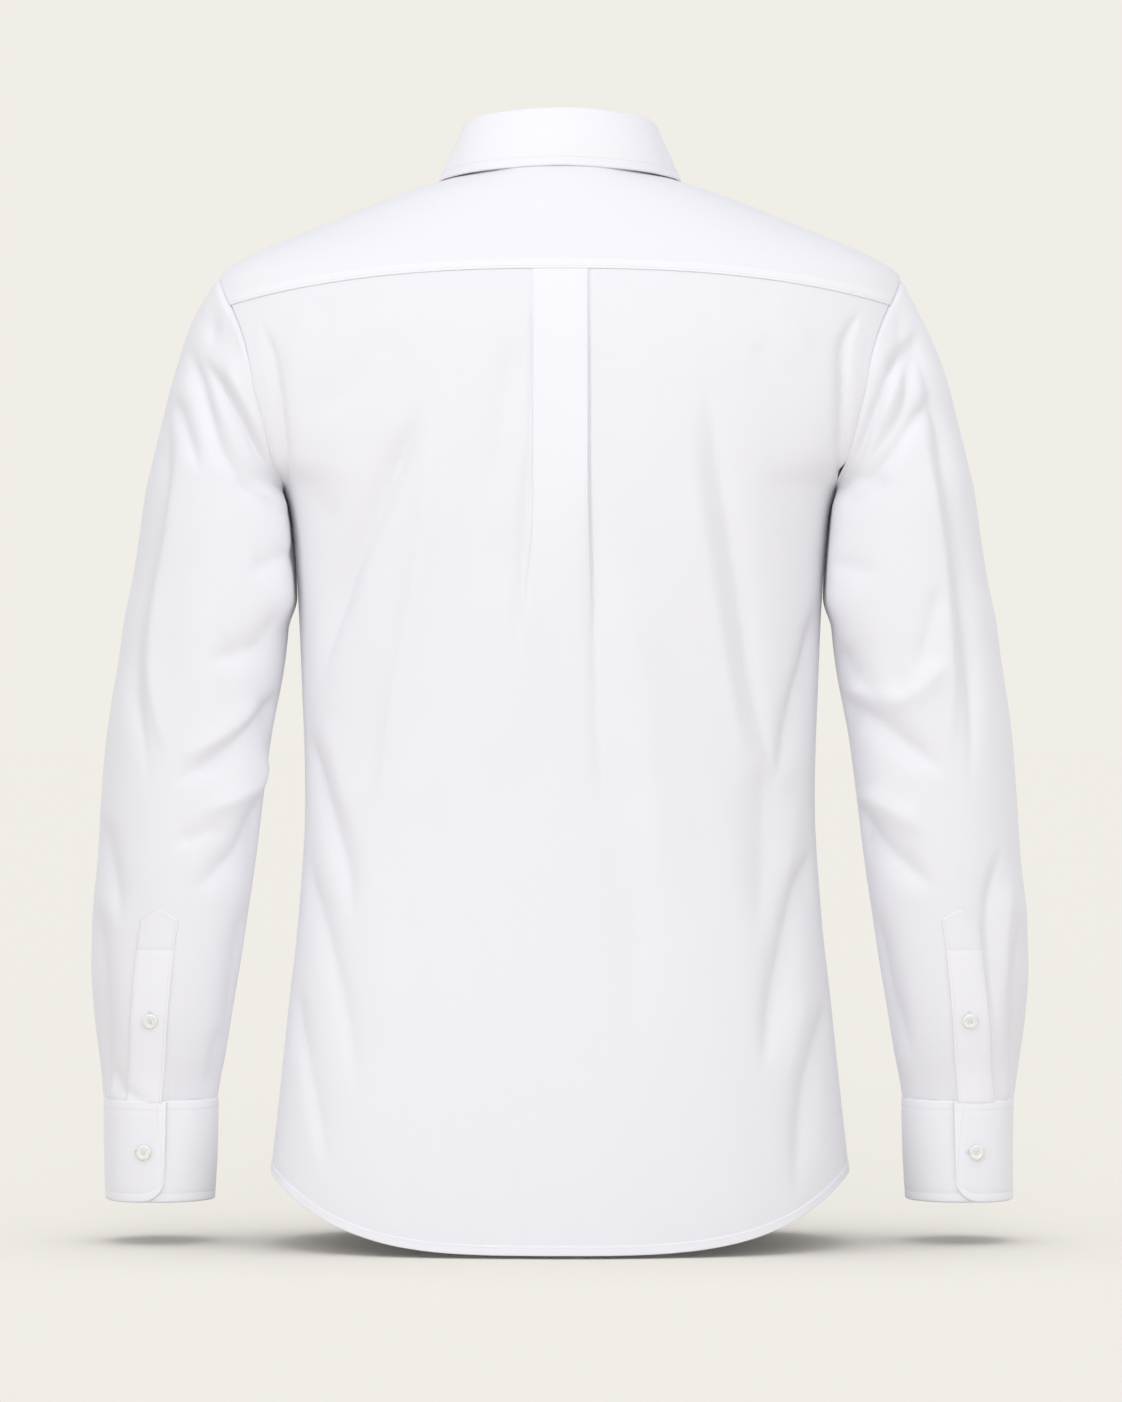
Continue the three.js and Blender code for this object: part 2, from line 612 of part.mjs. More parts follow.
// A cuff is one strip that laps over its own end. Its lower front corner is rounded.
const CUFF_TOP_Z = SLEEVE_END_Z - SEAM;
function cuffSurface(side) {
  const reach = 2 * Math.PI + CUFF_LAP;
  return (u, v) => {
    const turn = CUFF_EDGE - reach * u;
    const radius = 40;
    const fromEdge = reach * radius * u;
    const inCorner = clamp(1 - fromEdge / CUFF_CORNER, 0, 1);
    const cut = CUFF_CORNER * (1 - Math.sqrt(1 - inCorner ** 2));
    const z = CUFF_TOP_Z + (CUFF_END_Z + cut - CUFF_TOP_Z) * v;
    const over = (DOUBLE + LIFT) * ease((turn - rad(14)) / rad(40));
    const p = sectionPoint(CUFF, turn, z, over + 0.4);
    p.x *= side;
    return p;
  };
}

function buildSleeve(name, side, folds) {
  const surface = sleeveSurface(side, folds);
  const cap = evenly(8).map((share) => share * CAP_SHARE);
  const arm = evenly(19).slice(1).map((share) => CAP_SHARE + share * (1 - CAP_SHARE));
  const up = [...cap, ...arm];
  add(name + "_sleeve", tubeWall(surface, -side, { around: 24, up, thick: CLOTH }));

  const gauntlet = gauntletSurface(side, folds, LIFT + CLOTH);
  const strip = { across: evenly(4), up: evenly(9), thick: CLOTH };
  add(name + "_gauntlet", wall(gauntlet, -side, strip));

  const cuff = cuffSurface(side);
  const corner = [0, 0.012, 0.03, 0.062];
  const across = [...corner, ...evenly(28).slice(3)];
  add(name + "_cuff", wall(cuff, side, { across, up: evenly(3), thick: DOUBLE }));
}

// Collar stand: a band that rises from the neck seam and laps over itself at the front.
const STAND_END = Math.PI + Math.asin(BAND_HALF / NECK_HALF);
function standHeight(turn) {
  const share = (1 - Math.cos(turn)) / 2;
  return STAND_BACK + (STAND_FRONT - STAND_BACK) * share;
}

function standPoint(turn, share, grow = 0) {
  const base = bodyPoint(...neckTurnAndZ(turn));
  const inward = new THREE.Vector3(-base.x, -base.y, 0).normalize();
  const front = (1 - Math.cos(turn)) / 2;
  const lean = 0.24 - 0.2 * front;
  const rise = standHeight(turn) * share;
  base.addScaledVector(inward, lean * rise - grow);
  base.z += rise * (1 - 0.04 * front) + SEAM * 3;
  return base;
}

function standLap(turn) {
  return (DOUBLE + LIFT) * ease((turn - rad(150)) / rad(24));
}

function standSurface(u, v) {
  const turn = STAND_END * (2 * u - 1);
  const rounded = clamp(1 - (1 - Math.abs(2 * u - 1)) * 28, 0, 1);
  const share = v * (1 - 0.35 * (1 - Math.sqrt(1 - rounded ** 2)));
  return standPoint(turn, share, standLap(turn));
}

// Collar fall: it rolls over the top of the stand and comes down to its outer edge.
// Edge places, by turn: across, out to the back, and height.
const FALL_EDGE = [
  { z: 0, x: 0, y: 78, height: 8 },
  { z: -30, x: 44, y: 70.5, height: 7.5 },
  { z: -60, x: 77, y: 44, height: 7.4 },
  { z: -90, x: 90.5, y: 4, height: 4.2 },
  { z: -112, x: 88, y: -26, height: -13 },
  { z: -130, x: 75, y: -56, height: -42 },
  { z: -143, x: 60, y: -79, height: -70 },
  { z: -151, x: 50, y: -91, height: -89 },
];
const FALL_END = rad(176); // turn at which the fall's upper line ends, beside the front button
const ROLL_R = 2.2;

function fallPoint(u, v) {
  const side = u < 0.5 ? -1 : 1;
  const away = Math.abs(2 * u - 1);
  const turn = side * FALL_END * away;
  const top = standPoint(turn, 1, standLap(turn));
  const edgeTurn = (-COLLAR_POINT * away * 180) / Math.PI;
  const edge = new THREE.Vector3(
    side * column(FALL_EDGE, "x", edgeTurn),
    column(FALL_EDGE, "y", edgeTurn),
    column(FALL_EDGE, "height", edgeTurn),
  );
  const out = new THREE.Vector3(top.x, top.y, 0).normalize();
  const up = new THREE.Vector3(0, 0, 1);
  const roll = clamp(v / 0.35, 0, 1) * Math.PI;
  const crest = top.clone().addScaledVector(out, ROLL_R * (1 - Math.cos(roll)) + 0.2);
  crest.addScaledVector(up, DOUBLE + 1 + ROLL_R * Math.sin(roll));
  const down = clamp((v - 0.35) / 0.65, 0, 1);
  const belly = 3 * Math.sin(Math.PI * down) * (1 - away);
  return crest.lerp(edge, down).addScaledVector(out, belly);
}

function buildCollar() {
  const stand = { across: evenly(40), up: evenly(2), thick: DOUBLE };
  add("collar_stand", wall(standSurface, -1, stand));
  const up = [0, 0.12, 0.24, 0.35, 0.56, 0.78, 1];
  add("collar_fall", wall(fallPoint, 1, { across: evenly(36), up, thick: DOUBLE }));
}

// A dished shirt button, standing LIFT clear of the cloth that it is sewn to.
function addButton(name, surface, outward, u, v) {
  const profile = [
    [0, 0],
    [BUTTON_R - 1, 0],
    [BUTTON_R, 0.9],
    [BUTTON_R - 0.3, BUTTON_THICK],
    [BUTTON_R - 1.6, BUTTON_THICK],
    [BUTTON_R - 2.1, BUTTON_THICK - 0.8],
    [0, BUTTON_THICK - 0.8],
  ];
  const shape = profile.map(([r, h]) => new THREE.Vector2(r, h));
  const mesh = add(name, new THREE.LatheGeometry(shape, 12), pearl);
  const normal = normalOf(surface, u, v).multiplyScalar(outward);
  mesh.position.copy(surface(u, v)).addScaledVector(normal, LIFT);
  mesh.quaternion.setFromUnitVectors(new THREE.Vector3(0, 1, 0), normal);
}

function buildButtons() {
  const band = bandSurface(LIFT + CLOTH);
  for (let k = 0; k < FRONT_BUTTONS; k++) {
    const z = FIRST_BUTTON_Z - BUTTON_PITCH * k;
    const share = (z - band(0.5, 0).z) / (band(0.5, 1).z - band(0.5, 0).z);
    addButton("button_front_" + (k + 1), band, 1, 0.5, share);
  }
  addButton("button_collar", standSurface, -1, (1 + Math.PI / STAND_END) / 2, 0.5);
  for (const [name, side, folds] of [
    ["left", 1, LEFT_SLEEVE_FOLDS],
    ["right", -1, RIGHT_SLEEVE_FOLDS],
  ]) {
    const onCuff = (CUFF_EDGE - rad(78)) / (2 * Math.PI + CUFF_LAP);
    addButton("button_" + name + "_cuff", cuffSurface(side), side, onCuff, 0.5);
    const gauntlet = gauntletSurface(side, folds, LIFT + CLOTH);
    addButton("button_" + name + "_gauntlet", gauntlet, -side, 0.46, 0.447);
  }
}

buildBack();
buildYoke();
buildFronts();
buildBand();
buildSleeve("left", 1, LEFT_SLEEVE_FOLDS);
buildSleeve("right", -1, RIGHT_SLEEVE_FOLDS);
buildCollar();
buildButtons();

export default shirt;
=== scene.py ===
"""A white long sleeve dress shirt, filled out with no wearer and seen from behind.

Every sewn piece is a thin closed shell of cloth on the form of its solid, with the creases, hems,
pleat and stitching that the solids leave out. Lengths are millimetres until a mesh is made, and
metres for the lamps. The front of the shirt faces -Y and the wearer's left is +X. A piece is
worked out as a grid of points: a row for each step along it and a column for each step across.
"""

import math

import bpy
import numpy as np
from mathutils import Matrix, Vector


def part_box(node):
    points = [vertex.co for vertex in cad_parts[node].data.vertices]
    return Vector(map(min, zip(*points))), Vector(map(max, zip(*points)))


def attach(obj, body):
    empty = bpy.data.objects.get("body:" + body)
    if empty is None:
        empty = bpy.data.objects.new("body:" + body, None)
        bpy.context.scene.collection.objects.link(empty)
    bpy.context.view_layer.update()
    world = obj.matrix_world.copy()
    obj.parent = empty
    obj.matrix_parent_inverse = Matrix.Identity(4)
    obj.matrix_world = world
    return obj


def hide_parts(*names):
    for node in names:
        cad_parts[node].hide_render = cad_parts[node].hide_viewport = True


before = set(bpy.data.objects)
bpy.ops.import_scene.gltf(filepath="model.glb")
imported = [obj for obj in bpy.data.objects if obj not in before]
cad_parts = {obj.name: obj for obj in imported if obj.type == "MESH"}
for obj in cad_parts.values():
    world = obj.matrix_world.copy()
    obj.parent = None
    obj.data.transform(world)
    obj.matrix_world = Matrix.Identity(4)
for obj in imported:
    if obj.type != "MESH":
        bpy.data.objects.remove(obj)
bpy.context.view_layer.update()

IVORY = "#f1ede7"
AMBIENT = "#e4e4e7"
LAMP_WHITE = "#fcfcff"
FLOOR_COLOUR = "#efebe2"
# The floor, then the camera's place, lens and film width, and the height that lamps point at.
FLOOR_Z = -766.5
FLOOR_HALF = 40000
CAMERA_X = -0.7
CAMERA_AWAY = 4000
CAMERA_Z = -374
CAMERA_LENS = 141.7
CAMERA_FILM = 36
LAMPS_AIM_Z = -0.35
SIDES = (("left", 1), ("right", -1))


def linear(hex_colour):
    """An sRGB hex colour as linear red, green, blue and alpha."""
    parts = [int(hex_colour[i : i + 2], 16) / 255 for i in (1, 3, 5)]
    return tuple(c / 12.92 if c <= 0.04045 else ((c + 0.055) / 1.055) ** 2.4 for c in parts) + (1.0,)


def node(tree, kind, settings=None, **inputs):
    """Adds a node. An input is a value for a socket or an output socket that is linked to it; its
    name is the socket's, or an underscore and the socket's number."""
    made = tree.nodes.new(kind)
    for name, value in (settings or {}).items():
        setattr(made, name, value)
    for name, value in inputs.items():
        key = int(name[1:]) if name[0] == "_" and name[1:].isdigit() else name.replace("_", " ")
        socket = made.inputs[key]
        if isinstance(value, bpy.types.NodeSocket):
            tree.links.new(value, socket)
        else:
            socket.default_value = value
    return made


def placed(name, data):
    """An object for a camera, a lamp or a mesh, put into the scene."""
    made = bpy.data.objects.new(name, data)
    bpy.context.scene.collection.objects.link(made)
    return made


def make_camera():
    """The photograph's view: level, from straight behind, with a long lens."""
    data = bpy.data.cameras.new("camera")
    data.lens = CAMERA_LENS
    data.sensor_width = CAMERA_FILM
    made = placed("camera", data)
    made.location = (CAMERA_X / 1000, CAMERA_AWAY / 1000, CAMERA_Z / 1000)
    made.rotation_euler = (math.pi / 2, 0, math.pi)
    bpy.context.scene.camera = made
    bpy.context.scene.view_settings.view_transform = "Standard"


def make_world():
    """Even studio light from all round; the backdrop behind it is plain ivory."""
    world = bpy.data.worlds.new("studio")
    world.use_nodes = True
    tree = world.node_tree
    tree.nodes.clear()
    glow = node(tree, "ShaderNodeBackground", Color=linear(AMBIENT), Strength=1.0).outputs[0]
    paper = node(tree, "ShaderNodeBackground", Color=linear(IVORY), Strength=1.0).outputs[0]
    to_camera = node(tree, "ShaderNodeLightPath").outputs["Is Camera Ray"]
    both = node(tree, "ShaderNodeMixShader", Fac=to_camera, _1=glow, _2=paper)
    node(tree, "ShaderNodeOutputWorld", Surface=both.outputs[0])
    bpy.context.scene.world = world


def make_lamp(name, kind, strength, towards, lit):
    """A lamp whose light travels the way given. If lit is given, it reaches only those objects,
    as boards see to in a studio."""
    data = bpy.data.lights.new(name, kind)
    data.energy = strength
    data.color = linear(LAMP_WHITE)[:3]
    lamp = placed(name, data)
    x, y, z = towards
    lamp.rotation_euler = (math.atan2(math.hypot(x, y), -z), 0, math.atan2(-x, y))
    if lit is not None:
        reached = bpy.data.collections.new("lit_by_" + name)
        for shown in lit:
            reached.objects.link(shown)
        lamp.light_linking.receiver_collection = reached
    return lamp


def make_sun(name, strength, towards, spread, lit=None):
    """A distant soft light that comes from so many degrees of the sky."""
    make_lamp(name, "SUN", strength, towards, lit).data.angle = math.radians(spread)


def make_softbox(name, power, place, size, lit):
    """A square soft light at a place, turned towards the shirt, so what is near it gets more."""
    x, y, z = place
    lamp = make_lamp(name, "AREA", power, (-x, -y, LAMPS_AIM_Z - z), lit)
    lamp.location = place
    lamp.data.size = size


make_camera()
make_world()
make_sun("key", 0.32, (-0.02, -0.97, -0.25), 28)

# The solids' own sizes: thickness of one layer and of two, gap at a seam and between layers.
CLOTH = 1.2
DOUBLE = 2.0
SEAM = 0.3
LIFT = 0.45
UNDERARM_Z = -222
SHOULDER_TIP_Z = -67
NECK_BACK_Z = 14
NECK_DROP = 64
SIDE_HEM_Z = -713
BACK_HEM_Z = -764
FRONT_HEM_Z = -752
YOKE_BACK_Z = -67.5
YOKE_CORNER_Z = -89
SLEEVE_END_Z = -663
CUFF_END_Z = -735
NECK_HALF = 72
BAND_HALF = 17
HEM_POWER = 3.7
ARMHOLE_BACK = math.radians(29)
ARMHOLE_FRONT = math.radians(33)
YOKE_FRONT_NECK = math.radians(118)
YOKE_FRONT_ARM = math.radians(43)
CUFF_EDGE = math.radians(98)
CUFF_LAP = math.radians(35)
CUFF_CORNER = 17
GAUNTLET_EDGE = math.radians(96)
GAUNTLET_WIDTH = 24
GAUNTLET_TOP_Z = -522.5
GAUNTLET_POINT = 8
# How far stitches lie from the edge: on hems, close to an edge and on cuffs, band and collar;
# and how deep a hem is turned.
HEM_STITCH = 5.4
EDGE_STITCH = 1.6
WIDE_STITCH = 6
HEM_DEEP = 6.0
# Nominal lengths of back and fronts, of half the back's width, of the yoke and of the cuff, and
# the cuff's radius, by which rows and columns are spaced.
PANEL_LONG = 700
BACK_HALF = 295
YOKE_LONG = 104
CUFF_LONG = 72
CUFF_R = 40

# z, half width, sideways middle line, back, front, squareness of each level section
BODY = np.array(
    [
        (14, 70, 8, 66, -2, 2.0),
        (5, 72, 8, 73, -1, 2.0),
        (0, 88, 8, 76.5, -5, 2.0),
        (-8, 114, 8, 82, -14, 2.0),
        (-18, 140, 8, 87, -26, 2.0),
        (-33, 177, 8, 94, -42, 2.0),
        (-54, 226, 8, 102.5, -62, 2.0),
        (-67, 245, 8, 106.5, -72, 2.0),
        (-90, 252, 7, 111.5, -84, 2.0),
        (-120, 253, 6, 116, -97, 2.1),
        (-145, 251, 5, 118, -105, 2.2),
        (-170, 240, 4, 119, -112, 2.2),
        (-200, 220, 3, 119, -118, 2.25),
        (-222, 200, 2, 118, -121, 2.25),
        (-245, 194, 2, 117, -122, 2.25),
        (-285, 190.5, 2, 113.5, -121, 2.25),
        (-345, 187.5, 1, 109, -118, 2.25),
        (-446, 184.5, 0, 106, -113, 2.25),
        (-520, 188.5, 0, 108.5, -113, 2.25),
        (-600, 197, 0, 112.5, -115, 2.25),
        (-663, 203.5, 0, 116, -117.5, 2.3),
        (-713, 209, 0, 118.5, -119, 2.3),
        (-766, 213, 0, 121.5, -121, 2.3),
    ],
    float,
)

# z, outer side, inner side, back, front
SLEEVE = np.array(
    [
        (-67, 246.8, 60, 60, -48),
        (-90, 259, 105, 61, -50),
        (-120, 273, 128, 63, -54),
        (-145, 281.5, 157, 66, -59),
        (-170, 287.5, 175, 67, -61),
        (-200, 294.5, 191.5, 69, -62),
        (-222, 299.5, 200.6, 70, -62),
        (-250, 303.5, 198.2, 71, -62),
        (-285, 309, 195.6, 71, -62),
        (-315, 315, 196.2, 71, -61),
        (-345, 319, 199, 70, -60),
        (-400, 327.5, 209, 68, -57),
        (-446, 332, 215, 66, -54),
        (-490, 335, 220.5, 63, -54),
        (-533, 339, 227, 57, -55),
        (-565, 339.5, 232, 52, -56),
        (-600, 337, 238, 45, -56),
        (-630, 333.5, 243, 36, -54),
        (-650, 331.7, 247, 29, -52.5),
        (-663, 331, 249, 25.5, -51.5),
    ],
    float,
)
CUFF = np.array([(-663, 331.4, 248.8, 26, -52), (-735, 330.4, 251.4, 20.5, -56)], float)


def ease(value):
    """0 below 0, 1 above 1, and a smooth S between."""
    t = np.clip(value, 0, 1)
    return t * t * (3 - 2 * t)


def bell(distance, breadth):
    """1 in the middle, falling off as exp(-(distance / breadth) ** 2)."""
    return np.exp(-((distance / breadth) ** 2))


def unit(vectors):
    """Vectors divided by their lengths."""
    return vectors / np.maximum(np.linalg.norm(vectors, axis=-1, keepdims=True), 1e-9)


def closed(grid):
    """A ring's grid with its first column once more at the end."""
    return np.concatenate([grid, grid[:, :1]], 1)


def level(table, z):
    """A table's columns at heights z: a cubic through its rows whose slope at a row is the
    harmonic mean of the steps on either side, so that it never overshoots them."""
    rows = table[::-1]
    knots, values = rows[:, 0], rows[:, 1:]
    rise = np.diff(values, axis=0) / np.diff(knots)[:, None]
    slope = np.zeros_like(values)
    slope[0], slope[-1] = rise[0], rise[-1]
    same_way = rise[:-1] * rise[1:] > 0
    total = np.where(same_way, rise[:-1] + rise[1:], 1)
    slope[1:-1] = np.where(same_way, 2 * rise[:-1] * rise[1:] / total, 0)
    z = np.clip(z, knots[0], knots[-1])
    i = np.clip(np.searchsorted(knots, z) - 1, 0, len(knots) - 2)
    step = (knots[i + 1] - knots[i])[..., None]
    t = (z - knots[i])[..., None] / step
    bend = slope[i] * t * (1 - t) ** 2 - slope[i + 1] * t * t * (1 - t)
    found = values[i] + (values[i + 1] - values[i]) * ease(t) + bend * step
    return np.moveaxis(found, -1, 0)


HEIGHTS = np.arange(-800.0, 40.0, 2.0)
EVENED_OVER = 45


def evened_body():
    """The body's columns averaged over height, with weights that fall off as a bell."""
    weights = np.exp(-(((HEIGHTS[:, None] - HEIGHTS[None]) / EVENED_OVER) ** 2) / 2)
    return level(BODY, HEIGHTS) @ (weights / weights.sum(1, keepdims=True)).T


EVEN_BODY = evened_body()


def depth_at(x, half, mid, reach, square):
    """How deep a rounded oblong is at x across."""
    left_over = 1 - np.clip(np.abs(x) / half, 0, 1) ** square
    return mid + reach * left_over ** (1 / square)


def body_point(turn, z):
    """The body's form: at each height a rounded oblong, across by sine and deep by the matching
    power of what is left. Turn 0 is the middle of the back, a quarter turn the wearer's left.
    Away from its sides, depth comes from the evened columns, so that the step in width at the
    underarm leaves no band across the cloth."""
    half, mid, back, front, square = level(BODY, z)
    across = np.sin(turn)
    x = half * across
    behind = np.cos(turn) >= 0
    y = depth_at(x, half, mid, np.where(behind, back, front) - mid, square)
    half, mid, back, front, square = (np.interp(z, HEIGHTS, column) for column in EVEN_BODY)
    even = depth_at(x, half, mid, np.where(behind, back, front) - mid, square)
    share = ease((-95 - z) / 70) * (1 - ease((np.abs(across) - 0.66) / 0.32))
    return np.stack([x, y + (even - y) * share, z + 0 * x], -1)


def turn_at(x, z):
    """The turn on the back half at which the body is x across."""
    return np.arcsin(np.clip(x / level(BODY, z)[0], -1, 1))


def neck_seam(turn):
    """Turn and height of the neck seam, which falls smoothly from the back to the front."""
    z = NECK_BACK_Z - NECK_DROP * ((1 - np.cos(turn)) / 2) ** 3.1
    on_back = turn_at(NECK_HALF * np.abs(np.sin(turn)), z)
    found = np.where(np.cos(turn) < 0, math.pi - on_back, on_back)
    found = np.where(np.abs(turn) > math.pi, 2 * math.pi - found, found)
    return np.stack([np.sign(turn) * found, z], -1)


def armhole_seam(turn):
    """Turn and height of the left armhole: an upright oval, turn 0 at the shoulder tip."""
    z = (SHOULDER_TIP_Z + UNDERARM_Z) / 2 + (SHOULDER_TIP_Z - UNDERARM_Z) / 2 * np.cos(turn)
    bite = np.where(turn >= 0, ARMHOLE_BACK, ARMHOLE_FRONT)
    return np.stack([math.pi / 2 - bite * np.sin(turn), z], -1)


YOKE_BACK_ARM = math.acos(
    (YOKE_CORNER_Z - (SHOULDER_TIP_Z + UNDERARM_Z) / 2) / ((SHOULDER_TIP_Z - UNDERARM_Z) / 2)
)
YOKE_CORNER_TURN = float(armhole_seam(np.array(YOKE_BACK_ARM))[0])


def yoke_seam_z(turn):
    """The yoke's back seam dips from its middle to its corners by a power of the distance."""
    share = np.abs(np.sin(turn) / math.sin(YOKE_CORNER_TURN))
    return YOKE_BACK_Z + (YOKE_CORNER_Z - YOKE_BACK_Z) * share**2.6


def hem_z(turn):
    """The hem: low at the middle of back and front, swept up to the side seams by a power."""
    centre = np.where(np.cos(turn) >= 0, BACK_HEM_Z, FRONT_HEM_Z)
    return centre + (SIDE_HEM_Z - centre) * np.abs(np.sin(turn)) ** HEM_POWER


SEAM_SHARE = 0.7
ARM_SHARE = 0.3


def side_edge(v, arm_turn, side):
    """A panel's side: the side seam for its share, then the armhole up to arm_turn."""
    z = SIDE_HEM_Z + (UNDERARM_Z - SIDE_HEM_Z) * v / SEAM_SHARE
    below = np.stack([0 * v + math.pi / 2, z], -1)
    start = math.copysign(math.pi, arm_turn)
    above = armhole_seam(start + (arm_turn - start) * (v - SEAM_SHARE) / ARM_SHARE)
    return np.where((v <= SEAM_SHARE)[..., None], below, above) * (side, 1)


def mix(a, b, t):
    """The place a share t of the way from a to b."""
    return a + (b - a) * np.asarray(t)[..., None]


def fill_in(u, v, bottom, top, left, right):
    """Coons patch: the blend of two opposite edges, plus that of the other two, less that of the
    four corners. Each edge is a function that gives turn and height."""
    zero, one = 0 * u, 0 * u + 1
    rows = mix(bottom(u), top(u), v)
    sides = mix(left(v), right(v), u)
    corners = mix(mix(bottom(zero), bottom(one), u), mix(top(zero), top(one), u), v)
    return rows + sides - corners


PIECES = {}


def spaced(length, near_start, step, near_end):
    """Shares from 0 to 1 along a length: exact distances near both ends, even steps between."""
    start, end = np.array(near_start, float), length - np.array(near_end, float)
    count = max(2, int(round((end[0] - start[-1]) / step)))
    return np.concatenate([start[:-1], np.linspace(start[-1], end[0], count + 1), end[1:]]) / length


def normals_of(points, wrap=False):
    """Unit cross product of the two grid directions, with a closed ring's ends joined."""
    if wrap:
        points = np.concatenate([points[:, -1:], points, points[:, :1]], 1)
    along_v, along_u = np.gradient(points, axis=(0, 1))
    normal = np.cross(along_u, along_v)
    return unit(normal[:, 1:-1] if wrap else normal)


def raised(points, height, out, wrap=False):
    """Every point moved along its normal by its height; out is 1 or -1, whichever faces out."""
    return points + normals_of(points, wrap) * (np.asarray(height) * out)[..., None]


def lengths(points, axis):
    """Length along the grid lines up to each point."""
    steps = np.linalg.norm(np.diff(points, axis=axis), axis=-1)
    pad = [(0, 0), (0, 0)]
    pad[axis] = (1, 0)
    return np.pad(np.cumsum(steps, axis=axis), pad)


def mesh_object(name, vertices, faces, uv=None):
    """A mesh object from arrays in millimetres; the faces turned out if they enclose less than
    nothing."""
    vertices, faces = np.asarray(vertices, float) / 1000, np.asarray(faces)
    a, b, c = (vertices[faces[:, k]] for k in (0, 1, 2))
    volume = np.einsum("ij,ij->", a, np.cross(b, c))
    if faces.shape[1] == 4:
        volume += np.einsum("ij,ij->", a, np.cross(c, vertices[faces[:, 3]]))
    if volume < 0:
        faces = faces[:, ::-1]
    mesh = bpy.data.meshes.new(name)
    mesh.vertices.add(len(vertices))
    mesh.vertices.foreach_set("co", vertices.ravel())
    corners = faces.shape[1]
    mesh.loops.add(faces.size)
    mesh.loops.foreach_set("vertex_index", faces.ravel().astype(np.int32))
    mesh.polygons.add(len(faces))
    mesh.polygons.foreach_set("loop_start", np.arange(0, faces.size, corners, dtype=np.int32))
    mesh.polygons.foreach_set("use_smooth", np.full(len(faces), True))
    if uv is not None:
        layer = mesh.uv_layers.new(name="cloth")
        layer.uv.foreach_set("vector", uv[faces.ravel()].astype(np.float32).ravel())
    mesh.update(calc_edges=True)
    made = placed(name, mesh)
    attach(made, "root")
    return made


def rimmed(grid, middle, thick, wrap):
    """A grid with a rim round it, half a thickness beyond the edges of the middle surface. A ring
    has none along its sides."""
    pad = ((1, 1), (0, 0) if wrap else (1, 1), (0, 0))
    wide = np.pad(grid, pad, mode="edge")
    core = np.pad(middle, pad, mode="edge")
    for row, near in ((0, 2), (-1, -3)):
        wide[row] = core[row] + unit(core[row] - core[near]) * thick / 2
    if not wrap:
        for column, near in ((0, 2), (-1, -3)):
            beyond = core[:, column] + unit(core[:, column] - core[:, near]) * thick / 2
            wide[1:-1, column] = beyond[1:-1]
            for row in (0, -1):
                wide[row, column] = (wide[row, column] + beyond[row]) / 2
    return wide


def shell_faces(outer, inner):
    """The quads of an outer grid of point numbers, and those of an inner one turned over."""
    faces = []
    for grid, order in ((outer, 1), (inner, -1)):
        quads = [grid[:-1, :-1], grid[:-1, 1:], grid[1:, 1:], grid[1:, :-1]]
        faces.append(np.stack(quads[::order], -1).reshape(-1, 4))
    return np.concatenate(faces)


def cloth(name, points, out, thick, material, node_name, layers=None, wrap=False):
    """A closed shell: the given outer grid, an inner one a thickness below it, and a rounded rim
    half a thickness beyond the edges, where both meet. layers is 1 where cloth lies on cloth."""
    normal = normals_of(points, wrap) * out
    middle = points - normal * thick / 2
    both_sides = [rimmed(grid, middle, thick, wrap) for grid in (points, points - normal * thick)]
    rows, columns = both_sides[0].shape[:2]
    index = np.arange(rows * columns).reshape(rows, columns)
    inner = index + rows * columns
    inner[0], inner[-1] = index[0], index[-1]
    if wrap:
        faces = shell_faces(closed(index), closed(inner))
    else:
        inner[:, 0], inner[:, -1] = index[:, 0], index[:, -1]
        faces = shell_faces(index, inner)
    across = lengths(both_sides[0], 1)
    across -= across[:, -1:] / 2
    uv = np.stack([across, lengths(both_sides[0], 0)], -1).reshape(-1, 2) / 1000
    vertices = np.concatenate([grid.reshape(-1, 3) for grid in both_sides])
    used = np.unique(faces)
    place = np.zeros(len(vertices), int)
    place[used] = np.arange(len(used))
    made = mesh_object(name, vertices[used], place[faces], np.tile(uv, (2, 1))[used])
    made.data.materials.append(material)
    if layers is not None:
        shown = np.pad(layers, ((1, 1), (0, 0) if wrap else (1, 1)), mode="edge").ravel()
        kept = made.data.attributes.new("layers", "FLOAT", "POINT")
        kept.data.foreach_set("value", np.tile(shown, 2)[used].astype(np.float32))
    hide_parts(node_name)
    PIECES[name] = (points, normal, made)
    return made


def line_inside(name, edge, inset, part=(0, 1)):
    """The line a distance inside one edge of a piece: along each grid line that leaves the edge,
    the place where its length reaches the inset. Gives points and normals."""
    points, normal, _ = PIECES[name]
    if edge in ("left", "right"):
        points, normal = points.transpose(1, 0, 2), normal.transpose(1, 0, 2)
    if edge in ("end", "right"):
        points, normal = points[::-1], normal[::-1]
    count = points.shape[1]
    chosen = slice(int(part[0] * (count - 1)), int(part[1] * (count - 1)) + 1)
    points, normal = points[:, chosen], normal[:, chosen]
    far = lengths(points, 0)
    i = np.clip((far < inset).sum(0) - 1, 0, len(far) - 2)
    k = np.arange(points.shape[1])
    t = ((inset - far[i, k]) / np.maximum(far[i + 1, k] - far[i, k], 1e-9))[:, None]
    t = np.clip(t, 0, 1)
    return points[i, k] * (1 - t) + points[i + 1, k] * t, normal[i, k]


STITCHES = []
PITCH = 2.6  # a real shirt has one stitch each 1.5 mm: drawn coarser so that they show
STITCH_LENGTH = 2.0
THREAD_R = 0.2
THREAD_LIFT = 0.05
BUTTONHOLE_LONG = 13.0


